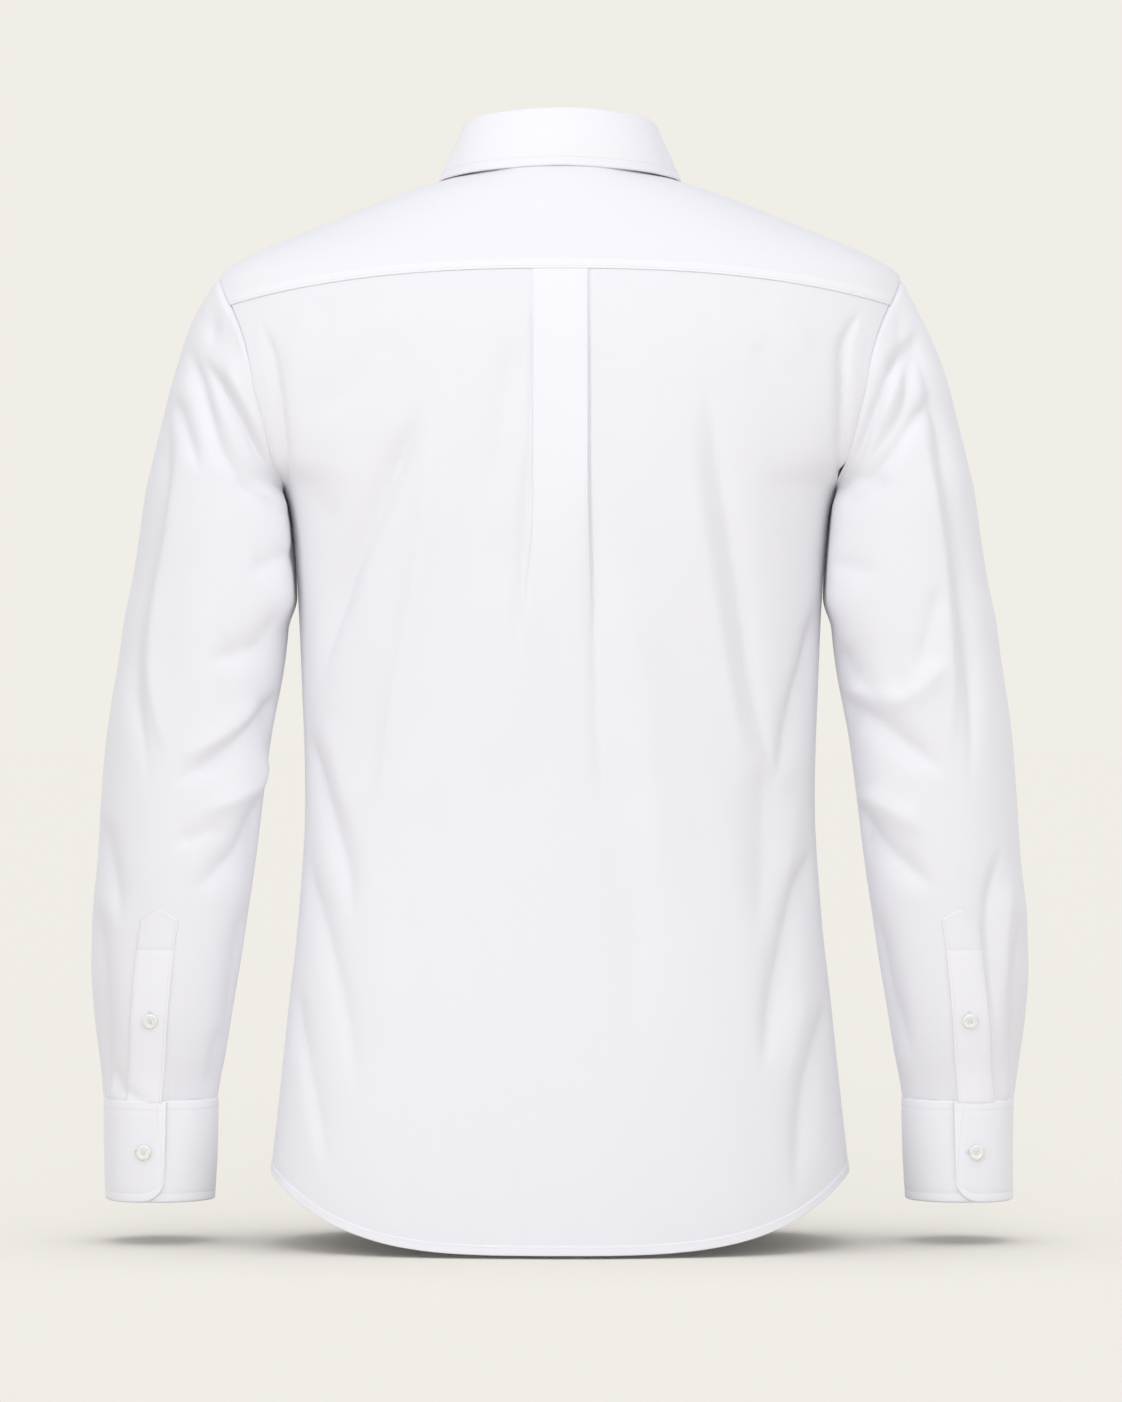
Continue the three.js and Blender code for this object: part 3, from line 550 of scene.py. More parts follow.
def add_threads(centre, ahead, up, long, radius):
    """Adds spindles of thread: each has two ends and two rings of four points."""
    side = np.cross(up, ahead)
    shape = [(-0.5, 0, -0.5), (0.5, 0, -0.5)]
    shape += [(e, s, u) for e in (-0.32, 0.32) for s, u in ((1, 0), (0, 1), (-1, 0), (0, -1))]
    along, sideways, upwards = np.array(shape).T[:, None, :, None]
    place = centre[:, None] + ahead[:, None] * along * long
    place = place + (side[:, None] * sideways + up[:, None] * upwards) * radius
    STITCHES.append(place.reshape(-1, 3))


def sew(line):
    """Adds a row of stitches along a line of points, at equal lengths, lying on the cloth."""
    points, normal = line
    far = lengths(points[None], 1)[0]
    count = int(far[-1] / PITCH)
    if count < 1:
        return
    at = (np.arange(count) + 0.5) * far[-1] / count

    def look(values, where):
        return np.stack([np.interp(where, far, values[:, k]) for k in range(3)], -1)

    centre, up = look(points, at), look(normal, at)
    ahead = unit(look(points, at + STITCH_LENGTH / 2) - look(points, at - STITCH_LENGTH / 2))
    up = unit(up)
    add_threads(centre + up * THREAD_LIFT, ahead, up, STITCH_LENGTH, THREAD_R)


def laid_on(name, places):
    """Places dropped along the nearest normal onto a piece, with the normals there."""
    points, normal, _ = PIECES[name]
    flat, normal = points.reshape(-1, 3), normal.reshape(-1, 3)
    nearest = np.argmin(((flat[None] - places[:, None]) ** 2).sum(-1), 1)
    up = normal[nearest]
    return places - up * ((places - flat[nearest]) * up).sum(-1, keepdims=True), up


def buttonhole(name, centre, along):
    """A worked buttonhole: a lens of bar stitches, packed on both sides of a slit."""
    at = np.arange(-BUTTONHOLE_LONG / 2, BUTTONHOLE_LONG / 2, 0.5)
    along = np.array(along, float)
    ground, up = laid_on(name, centre + at[:, None] * along)
    across = unit(np.cross(up, along))
    for side in (-1, 1):
        add_threads(ground + across * side * 0.7 + up * 0.04, across, up, 1.3, 0.16)


def finish_stitches(material):
    """All stitches become one mesh: two ends and two rings of four points each."""
    vertices = np.concatenate(STITCHES)
    count = len(vertices) // 10
    ring = [(2 + k, 6 + k, 6 + (k + 1) % 4, 2 + (k + 1) % 4) for k in range(4)]
    ends = [(0, 2 + k, 2 + (k + 1) % 4) for k in range(4)]
    ends += [(1, 6 + (k + 1) % 4, 6 + k) for k in range(4)]
    triangles = [t for q in ring for t in ((q[0], q[1], q[2]), (q[0], q[2], q[3]))] + ends
    faces = np.array(triangles)[None] + np.arange(count)[:, None, None] * 10
    made = mesh_object("seam_stitching", vertices, faces.reshape(-1, 3))
    made.data.materials.append(material)
    return made


def seen(points):
    """Where the camera sees points: across and height in the plane through the shirt's middle."""
    scale = CAMERA_AWAY / (CAMERA_AWAY - points[..., 1])
    return points[..., 0] * scale, (points[..., 2] - CAMERA_Z) * scale + CAMERA_Z


def smooth_line(points):
    """A smooth line through points: a Catmull-Rom cubic in six steps a span."""
    p = np.array(points, float)
    p = np.concatenate([2 * p[:1] - p[1:2], p, 2 * p[-1:] - p[-2:-1]])
    t = np.linspace(0, 1, 7)[:-1, None]
    spans = []
    for a, b, c, d in zip(p[:-3], p[1:-2], p[2:-1], p[3:]):
        square = (2 * a - 5 * b + 4 * c - d) * t**2 / 2
        spans.append(b + (c - a) * t / 2 + square + (3 * b - a - 3 * c + d) * t**3 / 2)
    return np.concatenate(spans + [p[-2:-1]])


# Millimetres a pixel of the photograph, the shirt's middle and neck in it, and what the heights
# of creases, judged from their shading, are times on the body and on the sleeves.
PIXEL = 0.725
MIDDLE_COLUMN = 560
NECK_ROW = 185
BODY_DEPTH = 1.9
SLEEVE_DEPTH = 1.55


def from_photo(depth, rows):
    """Crease rows whose places were read off the photograph, each as a column and a row of its
    pixels, turned into x and z. Their heights, judged from the shading, are times a depth."""
    turned = []
    for height, left, right, *places in rows:
        column, row = np.array(places, dtype=float).T
        points = np.stack([MIDDLE_COLUMN - column, NECK_ROW - row], -1) * PIXEL
        turned.append((depth * height, left, right, *points))
    return turned


def creases(rows, across, z):
    """The height that a list of creases gives at each place. Across a crease the height falls off
    as exp(-(distance / breadth) ** 1.5), with a breadth for each side; along it height and breadth
    rise over the first quarter and fade over the last third. A row is (height, breadth on the
    left, breadth on the right, then the (x, z) places that it runs through from the top)."""
    total = np.zeros(np.broadcast(across, z).shape)
    for height, left, right, *points in rows:
        line = smooth_line(points)
        margin = 4 * max(left, right)
        low, high = line.min(0) - margin, line.max(0) + margin
        near = (across > low[0]) & (across < high[0]) & (z > low[1]) & (z < high[1])
        x, h = across[near], z[near]
        steps = np.linalg.norm(np.diff(line, axis=0), axis=1)
        reached = np.concatenate([[0], np.cumsum(steps)])
        least, off, along = np.full(x.shape, 1e9), 0 * x, 0 * x
        for (x0, z0), (x1, z1), size, start in zip(line[:-1], line[1:], steps, reached):
            dx, dz = (x1 - x0) / size, (z1 - z0) / size
            t = np.clip((x - x0) * dx + (h - z0) * dz, 0, size)
            far = np.hypot(x - x0 - t * dx, h - z0 - t * dz)
            closer = far < least
            side = np.sign((x - x0) * dz - (h - z0) * dx)
            least = np.where(closer, far, least)
            off = np.where(closer, side * far, off)
            along = np.where(closer, (start + t) / reached[-1], along)
        ends = ease(along / 0.25) * ease((1 - along) / 0.35)
        breadth = np.where(off < 0, left, right) * (0.5 + 0.5 * ends)
        total[near] += height * ends * np.exp(-(np.abs(off / breadth) ** 1.5))
    return total


def ripple(across, z, size, tall, seed):
    """Slow unevenness of cloth: a sum of eight plane waves in random directions, longer up and
    down than across, between -1 and 1 or so."""
    random = np.random.default_rng(seed)
    total = 0 * across
    for _ in range(8):
        a, b, phase = random.normal(size=3)
        total = total + np.sin(a * across / size * 2 + b * z / tall * 2 + phase * 6)
    return total / 4


def new_material(name):
    """A material with no nodes yet, and its tree."""
    made = bpy.data.materials.new(name)
    made.use_nodes = True
    made.node_tree.nodes.clear()
    return made, made.node_tree


# Threads are 0.2 mm apart on the real cloth: drawn 1.57 mm apart so that they show. A wave node
# turns 20 times its scale in radians for each metre.
THREADS_APART = math.pi / 2
WEAVE_SCALE = 2 * math.pi / 20 / (THREADS_APART / 1000)


def poplin(name, colour, doubled, rumpled):
    """Bleached cotton poplin: combed yarn in a tight plain weave, calendered smooth, so the eye
    sees a matt white with a faint silky sheen and a barely raised grain. Where the piece's own
    layers attribute says that cloth lies on cloth, less light goes through and it is whiter."""
    made, tree = new_material(name)
    flat = node(tree, "ShaderNodeUVMap", {"uv_map": "cloth"}).outputs[0]
    yarn = {"Vector": flat, "Scale": WEAVE_SCALE, "Distortion": 0.4, "Detail": 1.0}
    waves = []
    for way in ("X", "Y"):
        bands = {"bands_direction": way, "wave_profile": "SIN"}
        waves.append(node(tree, "ShaderNodeTexWave", bands, Detail_Scale=0.7, **yarn).outputs["Fac"])
    weave = node(tree, "ShaderNodeMath", {"operation": "MAXIMUM"}, _0=waves[0], _1=waves[1])
    # Slubs come about every 1.1 mm and rumples about every 45 mm.
    slub = node(tree, "ShaderNodeTexNoise", Vector=flat, Scale=900.0, Detail=3.0, Roughness=0.6)
    rumple = node(tree, "ShaderNodeTexNoise", Vector=flat, Scale=22.0, Detail=3.0, Roughness=0.5)
    slub, rumple = slub.outputs["Fac"], rumple.outputs["Fac"]
    soft = node(tree, "ShaderNodeBump", Strength=rumpled, Distance=0.0012, Height=rumple).outputs[0]
    grain = node(tree, "ShaderNodeBump", Strength=0.06, Distance=0.0002, Height=slub, Normal=soft)
    threads = node(
        tree,
        "ShaderNodeBump",
        Strength=0.10,
        Distance=0.0001,
        Height=weave.outputs[0],
        Normal=grain.outputs[0],
    )
    layers = node(tree, "ShaderNodeAttribute", {"attribute_name": "layers"}).outputs["Fac"]
    blend = {"data_type": "RGBA"}
    whiter = node(tree, "ShaderNodeMix", blend, _0=layers, _6=linear(colour), _7=linear(doubled))
    # Slubs are a shade duller than the cloth between them.
    blend["blend_type"] = "MULTIPLY"
    dull = linear("#fafafb")
    duller = node(tree, "ShaderNodeMix", blend, _0=slub, _6=whiter.outputs[2], _7=dull)
    surface = node(
        tree,
        "ShaderNodeBsdfPrincipled",
        Base_Color=duller.outputs[2],
        Roughness=0.82,
        Sheen_Weight=0.1,
        Sheen_Roughness=0.45,
        Normal=threads.outputs[0],
    )
    node(tree, "ShaderNodeOutputMaterial", Surface=surface.outputs[0])
    return made


def pearl(name):
    """Cast polyester with a pearl pigment in clouds of about 4 mm, turned and tumbled to a soft
    gloss."""
    made, tree = new_material(name)
    place = node(tree, "ShaderNodeTexCoord").outputs["Object"]
    cloud = node(tree, "ShaderNodeTexNoise", Vector=place, Scale=260.0, Detail=3.0, Distortion=1.5)
    ramp = node(tree, "ShaderNodeValToRGB", Fac=cloud.outputs["Fac"])
    ramp.color_ramp.elements[0].position = 0.3
    ramp.color_ramp.elements[0].color = linear("#dfe0db")
    ramp.color_ramp.elements[1].position = 0.7
    ramp.color_ramp.elements[1].color = linear("#eeefea")
    surface = node(
        tree,
        "ShaderNodeBsdfPrincipled",
        Base_Color=ramp.outputs[0],
        Roughness=0.3,
        IOR=1.53,
        Coat_Weight=0.3,
        Coat_Roughness=0.15,
    )
    node(tree, "ShaderNodeOutputMaterial", Surface=surface.outputs[0])
    return made


def spun_thread(name):
    """Core-spun polyester sewing thread, white, with the dull gleam of twisted fibre, uneven every
    0.4 mm."""
    made, tree = new_material(name)
    place = node(tree, "ShaderNodeTexCoord").outputs["Object"]
    twist = node(tree, "ShaderNodeTexNoise", Vector=place, Scale=2500.0).outputs["Fac"]
    ramp = node(tree, "ShaderNodeValToRGB", Fac=twist)
    ramp.color_ramp.elements[0].color = linear("#e2e2e7")
    ramp.color_ramp.elements[1].color = linear("#ecebf0")
    bump = node(tree, "ShaderNodeBump", Strength=0.4, Distance=0.0001, Height=twist)
    surface = node(
        tree,
        "ShaderNodeBsdfPrincipled",
        Base_Color=ramp.outputs[0],
        Roughness=0.6,
        Sheen_Weight=0.2,
        Normal=bump.outputs[0],
    )
    node(tree, "ShaderNodeOutputMaterial", Surface=surface.outputs[0])
    return made


def paper(name):
    """Seamless studio paper, matt: its colour is what makes it as bright as the backdrop."""
    made, tree = new_material(name)
    surface = node(tree, "ShaderNodeBsdfDiffuse", Color=linear(FLOOR_COLOUR))
    node(tree, "ShaderNodeOutputMaterial", Surface=surface.outputs[0])
    return made


COTTON = poplin("bleached_cotton_poplin", "#e8e8ec", "#ededf1", 0.2)
LINED = poplin("interlined_cotton_poplin", "#e8e8ec", "#ededf1", 0.1)
PEARL = pearl("pearl_polyester")
THREAD_WHITE = spun_thread("spun_polyester_thread")

BACK_CREASES = from_photo(BODY_DEPTH, [
    (-3.0, 3, 5, (256, 318), (268, 343), (277, 392), (282, 440), (286, 480), (289, 512)),
    (-3.4, 5, 3, (864, 303), (846, 343), (844, 389), (843, 445), (841, 480), (838, 508)),
    (-4.6, 11, 7, (424, 395), (411, 433), (387, 488), (356, 559), (332, 630), (318, 700)),
    (2.8, 8, 12, (430, 410), (426, 470), (422, 541), (402, 655), (384, 760), (372, 830)),
    (-1.1, 11, 12, (400, 320), (372, 360), (335, 398), (296, 420)),
    (0.9, 6, 6, (312, 295), (300, 330), (286, 380)),
    (-0.9, 6, 8, (334, 292), (317, 338), (300, 378)),
    (-1.7, 10, 12, (517, 325), (505, 400), (497, 460), (482, 525)),
    (-0.9, 12, 12, (280, 464), (300, 484), (325, 512), (348, 533)),
    (-4.0, 12, 7, (704, 375), (715, 440), (729, 524), (743, 611), (752, 677), (768, 750), (778, 805)),
    (2.0, 12, 10, (688, 430), (705, 540), (722, 640), (740, 740), (752, 805)),
    (-3.8, 7, 9, (824, 590), (814, 640), (800, 690), (787, 745), (774, 795)),
    (-2.4, 12, 14, (766, 750), (766, 830), (764, 890), (756, 945)),
    (1.0, 9, 10, (802, 785), (793, 840), (785, 905)),
    (-0.8, 9, 11, (748, 342), (785, 368), (818, 390)),
    (0.8, 8, 8, (766, 296), (795, 325), (817, 356)),
    (-0.7, 16, 16, (838, 468), (800, 484), (748, 492)),
    (-4.4, 8, 10, (824, 830), (804, 879), (788, 941), (772, 1015), (762, 1085)),
    (-2.9, 7, 9, (834, 980), (822, 1030), (808, 1083), (800, 1150), (795, 1205)),
    (1.1, 9, 9, (808, 980), (796, 1040), (784, 1100)),
    (-3.3, 6, 9, (298, 708), (308, 746), (326, 808), (346, 879), (354, 935)),
    (1.2, 10, 9, (320, 712), (338, 775), (353, 836)),
    (-2.7, 7, 9, (301, 830), (308, 880), (321, 923), (339, 994), (352, 1060), (359, 1115)),
    (-2.5, 6, 8, (287, 960), (296, 1015), (306, 1065), (321, 1140), (331, 1185)),
    (0.8, 6, 7, (295, 1035), (308, 1100), (315, 1165)),
    (-1.7, 16, 14, (598, 725), (618, 800), (631, 880), (640, 960), (645, 1045)),
    (-1.3, 16, 16, (434, 775), (420, 850), (401, 923), (391, 1005)),
    (1.5, 20, 20, (514, 550), (506, 680), (498, 810)),
    (1.7, 18, 18, (618, 550), (645, 700), (655, 820), (670, 940)),
    (-1.8, 6, 7, (589, 450), (592, 560), (595, 660), (599, 760), (604, 840)),
    (-1.7, 5, 3.5, (529, 430), (526, 500), (522, 580), (518, 670)),
    (-0.45, 1.5, 1.5, (532, 268), (531, 370), (529, 460), (528, 520)),
])
FRONT_CREASES = [
    (-2.6, 5, 6, (214, -92), (206, -140), (202, -180), (199, -228)),
    (-2.6, 6, 5, (-213, -92), (-205, -138), (-202, -182), (-199, -228)),
    (-3.2, 9, 10, (104, -140), (136, -186), (176, -228)),
    (-3.0, 10, 9, (-98, -148), (-134, -192), (-178, -230)),
    (2.4, 14, 12, (90, -160), (98, -300), (110, -430), (118, -540)),
    (-3.6, 10, 12, (176, -280), (152, -390), (128, -480), (100, -590)),
    (-3.2, 12, 10, (-172, -300), (-150, -400), (-124, -500), (-108, -610)),
    (-2.6, 12, 12, (180, -500), (166, -600), (150, -700)),
    (-2.8, 12, 12, (-184, -520), (-162, -620), (-146, -705)),
    (2.0, 18, 18, (-68, -200), (-80, -360), (-72, -540)),
    (-1.9, 12, 14, (44, -280), (56, -420), (52, -580)),
    (-1.7, 14, 12, (-44, -240), (-58, -400), (-66, -580)),
]
# Thickness of the shown cloth: one layer with its turned edges, and the pieces of several layers.
ONE_LAYER = 0.6
YOKE_THICK = 0.8
BAND_THICK = 0.8
GAUNTLET_THICK = 0.9
CUFF_THICK = 1.9
STAND_THICK = 1.6
FALL_THICK = 1.7
# Seeds of the slow unevenness of each kind of piece.
BACK_SEED = 4
FRONT_SEED = 5
SLEEVE_SEED = 11
CUFF_SEED = 21


def body_relief(points, turn):
    """Creases of the back or the front at each place, fading out towards the side seams."""
    x, z = seen(points)
    side_fade = ease((level(BODY, points[..., 2])[0] - np.abs(points[..., 0])) / 9 + 0.05)
    on_back = creases(BACK_CREASES, x, z)
    on_back = on_back + 0.8 * ripple(x, z, 27, 120, BACK_SEED) * ease((-80 - z) / 60)
    on_front = creases(FRONT_CREASES, points[..., 0], points[..., 2])
    on_front = on_front + 0.8 * ripple(x, z, 27, 120, FRONT_SEED)
    return np.where(np.cos(turn) >= 0, on_back, on_front) * side_fade


# The pleat's left and right edges: distance from the middle, how far each leans out below, how far
# under the yoke it starts to and over what height; then how open its slot is.
PLEAT_EDGES = ((19.1, 8.5, 165, 110), (19.7, 7.0, 130, 260))
PLEAT_OPEN = (0.5, 1.7)


def pleat(x, z):
    """The box pleat: a flat strip that stands proud between two pressed edges, which lean apart
    and soften until the strip is lost. Gives its height and how far inside it each place is."""
    down = YOKE_BACK_Z - z
    left_edge, right_edge = (
        middle + lean * ease((down - start) / over) for middle, lean, start, over in PLEAT_EDGES
    )
    inside = np.where(x > 0, left_edge - x, right_edge + x)
    soft = 0.35 + 15 * ease((down - 160) / 170) ** 2
    strip = ease(inside / soft + 0.5)
    rise = (0.35 + 1.7 * ease(down / 90)) * ease((360 - down) / 200)
    open_by = np.where(x > 0, *PLEAT_OPEN) * ease((290 - down) / 90) * ease((down + 1) / 6)
    slot = bell(inside + 0.9, 0.9)
    roll = bell(inside - 2.2, 2.2) * ease((240 - down) / 90) * ease(down / 20)
    return rise * strip - open_by * slot + 0.3 * roll, strip * ease((280 - down) / 180)


def panel_rows():
    """Rows from hem to top seam, close together at the rolled hem and at the seam."""
    near_hem = [0, 0.8, 2, 3.6, 5.0, 5.6, 5.9, 6.2, 7.0, 9, 12]
    return spaced(PANEL_LONG, near_hem, 3.4, [12, 8, 5, 3.2, 2.2, 1.4, 0.7, 0])


def hem_roll(from_hem):
    """A hem turned twice stands half a millimetre proud, with a slight dent above it."""
    return 0.5 * ease((HEM_DEEP + 0.1 - from_hem) / 0.5) - 0.18 * bell(from_hem - HEM_DEEP - 0.6, 0.8)


def hem_layers(from_hem):
    """1 where the hem lies double."""
    return ease((HEM_DEEP + 0.4 - from_hem) / 0.4)


def back_edges(u, v):
    """The back panel's place: hem, yoke seam and both sides."""

    def hem(s):
        turn = math.pi * (s - 0.5)
        return np.stack([turn, hem_z(turn)], -1)

    def seam(s):
        turn = YOKE_CORNER_TURN * (2 * s - 1)
        return np.stack([turn, yoke_seam_z(turn)], -1)

    def left(s):
        return side_edge(s, YOKE_BACK_ARM, -1)

    def right(s):
        return side_edge(s, YOKE_BACK_ARM, 1)

    return fill_in(u, v, hem, seam, left, right)


def make_back():
    """The back panel: columns near the middle keep their distance across, so that they follow the
    pleat; further out they keep their share of the panel."""
    rows = panel_rows()
    near = [0, 4, 8, 12, 15, 17, 18, 18.5, 18.9, 19.2, 19.5, 19.8, 20.1, 20.4, 20.7, 21, 21.4]
    near += [21.9, 22.6, 23.5, 25, 27.5, 30.5, 34]
    past_pleat = 37.5
    further = past_pleat + (BACK_HALF - past_pleat) * np.linspace(0, 1, 70)[1:] ** 0.93
    half = np.concatenate([near, [past_pleat], further])
    half[-8:] = BACK_HALF - np.array([26, 20.5, 15.5, 11, 7, 4, 1.6, 0])
    share = np.concatenate([-half[:0:-1], half]) / BACK_HALF
    c, v = np.meshgrid(share, rows)
    edge = side_edge(v, YOKE_BACK_ARM, 1)[..., 0]
    z_middle = back_edges(0 * v + 0.5, v)[..., 1]
    by_distance = turn_at(c * BACK_HALF, z_middle)
    keep = ease((np.abs(c) - 0.15) / 0.5)
    turn = by_distance * (1 - keep) + c * edge * keep
    place = back_edges((turn / edge + 1) / 2, v)
    turn, z = place[..., 0], place[..., 1]
    points = body_point(turn, z)
    folded, strip = pleat(points[..., 0], z)
    height = body_relief(points, turn) + folded + hem_roll(v * PANEL_LONG)
    height = height - 0.35 * ease((8 - (1 - v) * PANEL_LONG) / 6)
    points = raised(points, height, -1)
    layers = np.maximum(strip * 0.8, hem_layers(v * PANEL_LONG))
    cloth("back_panel_cloth", points, -1, ONE_LAYER, COTTON, "back_panel", layers)


YOKE_SIDE = 0.2


def yoke_outer(u):
    """The yoke's outer edge: front of one armhole, over the tip, the back seam, and the other."""
    side = np.where(u < 0.5, -1, 1)
    from_end = np.minimum(u, 1 - u)
    arm = -YOKE_FRONT_ARM + (YOKE_FRONT_ARM + YOKE_BACK_ARM) * from_end / YOKE_SIDE
    turn = YOKE_CORNER_TURN * (0.5 - from_end) / (0.5 - YOKE_SIDE)
    seam = np.stack([turn, yoke_seam_z(turn)], -1)
    found = np.where((from_end < YOKE_SIDE)[..., None], armhole_seam(arm), seam)
    return found * np.stack([side, 0 * side + 1], -1)


def yoke_neck(u):
    """The yoke's inner edge: the neck seam from one front corner round the back to the other."""
    side = np.where(u < 0.5, -1, 1)
    from_end = np.minimum(u, 1 - u)
    at_side = math.radians(72)
    beside = YOKE_FRONT_NECK + (at_side - YOKE_FRONT_NECK) * from_end / YOKE_SIDE
    behind = at_side * (0.5 - from_end) / (0.5 - YOKE_SIDE)
    return neck_seam(side * np.where(from_end < YOKE_SIDE, beside, behind))


def make_yoke():
    """The yoke lies over the back and the fronts, with a turned edge a millimetre past the seam."""
    columns = np.linspace(0, 1, 261)
    rows = spaced(YOKE_LONG, [0, 1, 2.2, 4, 6.5], 2.6, [9.5, 8.2, 7.4, 5, 3.2, 2, 1.2, 0.6, 0])
    rows = rows * (1 + 1.0 / YOKE_LONG)
    u, v = np.meshgrid(columns, rows)

    def end(s):
        return mix(yoke_neck(0 * s), yoke_outer(0 * s), s)

    def other_end(s):
        return mix(yoke_neck(0 * s + 1), yoke_outer(0 * s + 1), s)

    place = fill_in(u, v, yoke_neck, yoke_outer, end, other_end)
    turn, z = place[..., 0], place[..., 1]
    points = body_point(turn, z)
    behind = ease((0.5 - np.abs(u - 0.5) - YOKE_SIDE) / 0.02)
    from_seam = (rows[-1] - v) * YOKE_LONG
    height = 0.35 + 0.3 * behind + body_relief(points, turn) * ease((v - 0.1) / 0.4)
    height = height - 0.12 * bell(from_seam - 8.0, 0.7) * behind
    points = raised(points, height, 1)
    layers = 0.4 + 0.6 * ease((8.2 - from_seam) / 0.6) * behind
    cloth("yoke_cloth", points, 1, YOKE_THICK, COTTON, "yoke", layers)


NECK_SHARE = 0.4


def front_edges(u, v, side):
    """A front's place: hem, centre edge, neckline and front yoke seam, and side edge."""
    neck_end = math.pi + math.asin(BAND_HALF / NECK_HALF)

    def centre(s):
        top_z = neck_seam(np.array(neck_end))[1]
        z = FRONT_HEM_Z + (top_z - FRONT_HEM_Z) * s
        return np.stack([math.pi + turn_at(0 * z + BAND_HALF, z), z], -1) * (side, 1)

    def hem(s):
        start = math.pi + float(turn_at(np.array(BAND_HALF), np.array(FRONT_HEM_Z)))
        turn = start + (math.pi / 2 - start) * s
        return np.stack([turn, hem_z(turn)], -1) * (side, 1)

    def top(s):
        on_neck = neck_seam(neck_end + (YOKE_FRONT_NECK - neck_end) * s / NECK_SHARE)
        corner = armhole_seam(np.array(-YOKE_FRONT_ARM))
        along = (s - NECK_SHARE) / (1 - NECK_SHARE)
        seam = mix(neck_seam(np.array(YOKE_FRONT_NECK)) + 0 * on_neck, corner, along)
        return np.where((s < NECK_SHARE)[..., None], on_neck, seam) * (side, 1)

    return fill_in(u, v, hem, top, centre, lambda s: side_edge(s, -YOKE_FRONT_ARM, side))


def front_points(u, v, side):
    """A front's form and relief; near the middle the right one dips under the left."""
    place = front_edges(u, v, side)
    turn, z = place[..., 0], place[..., 1]
    points = body_point(turn, z)
    x = points[..., 0]
    under = -(CLOTH + LIFT) * ease((x + 80) / 36) if side < 0 else 0 * x
    fade = ease(u / 0.1) * ease((1.0 - v) / 0.04 + 0.2)
    height = under + body_relief(points, turn) * fade + hem_roll(v * PANEL_LONG)
    height = height - 0.4 * ease((2.4 - (1 - v) * PANEL_LONG) / 2.0)
    return points, height


def make_fronts():
    """Both fronts; the right one passes under the left at the middle."""
    rows = panel_rows()
    columns = np.concatenate([np.linspace(0, 0.4, 30)[:-1], np.linspace(0.4, 1, 50)])
    for name, side in SIDES:
        u, v = np.meshgrid(columns, rows)
        points, height = front_points(u, v, side)
        points = raised(points, height, side)
        layers = hem_layers(v * PANEL_LONG)
        cloth(name + "_front_cloth", points, side, ONE_LAYER, COTTON, name + "_front", layers)


def make_band():
    """The front band follows the left front's own places, moved out by the cloth below it. How
    far across it reaches is scaled from the front's place at a probed share of its width."""
    rows = panel_rows()
    rows = rows[rows < 0.994]
    u, v = np.meshgrid(np.linspace(0, 1, 19), rows)
    probed = 0.09
    probe, _ = front_points(0 * u + probed, v, 1)
    reach = probe[..., 0] + BAND_HALF
    points, height = front_points(probed * 2 * BAND_HALF * u / reach, v, 1)
    dents = bell(np.minimum(u, 1 - u) * 2 * BAND_HALF - WIDE_STITCH, 0.7)
    points = raised(points, height + 0.9 - 0.15 * dents, 1)
    cloth("front_band_cloth", points, 1, BAND_THICK, COTTON, "front_band", 0 * u + 1)


CAP_SHARE = 0.3
CAP_END_Z = -255

# Creases that the camera sees, on the back of each sleeve.
LEFT_BEHIND = from_photo(SLEEVE_DEPTH, [
    (-3.2, 5, 6, (223, 280), (215, 320), (212, 350)),
    (-3.3, 5, 6, (236, 305), (240, 345), (255, 375), (264, 396)),
    (-4.4, 6, 7, (188, 342), (204, 403), (220, 445), (236, 475), (248, 502)),
    (-5.0, 6, 6, (198, 352), (227, 394), (255, 440), (280, 480), (292, 503)),
    (2.3, 6, 8, (222, 366), (250, 412), (277, 456)),
    (-2.5, 5, 6, (171, 390), (187, 435), (200, 476)),
    (-3.6, 7, 5, (166, 385), (166, 470), (158, 530), (146, 580), (136, 640), (136, 690),
     (145, 750), (153, 800)),
    (2.6, 5, 9, (173, 440), (168, 530), (158, 590), (152, 640), (152, 690), (162, 740), (178, 782)),
    (-2.1, 6, 6, (232, 480), (259, 496), (278, 510), (294, 520)),
    (-2.3, 8, 8, (248, 573), (270, 563), (289, 554), (302, 547)),
    (-2.8, 9, 9, (203, 664), (235, 654), (259, 646), (276, 621), (285, 596)),
    (-5.2, 8, 9, (294, 680), (270, 712), (237, 745), (200, 768), (170, 783)),
    (2.5, 8, 8, (266, 696), (237, 725), (205, 748), (176, 761)),
    (3.3, 8, 8, (282, 748), (265, 768), (253, 788), (226, 803), (198, 816)),
    (-3.8, 9, 11, (278, 780), (261, 806), (240, 850), (215, 875), (186, 897)),
    (-1.6, 7, 7, (228, 827), (198, 836), (168, 843)),
    (-2.7, 6, 7, (97, 808), (106, 845), (115, 890), (121, 930)),
    (-3.3, 5, 6, (91, 885), (97, 930), (103, 990), (108, 1050), (112, 1100)),
    (-2.1, 8, 8, (248, 893), (238, 950), (232, 1000), (227, 1055)),
    (-2.0, 7, 7, (224, 1022), (214, 1066), (207, 1100)),
    (-1.8, 4, 5, (112, 1058), (120, 1082), (132, 1094), (154, 1102)),
])
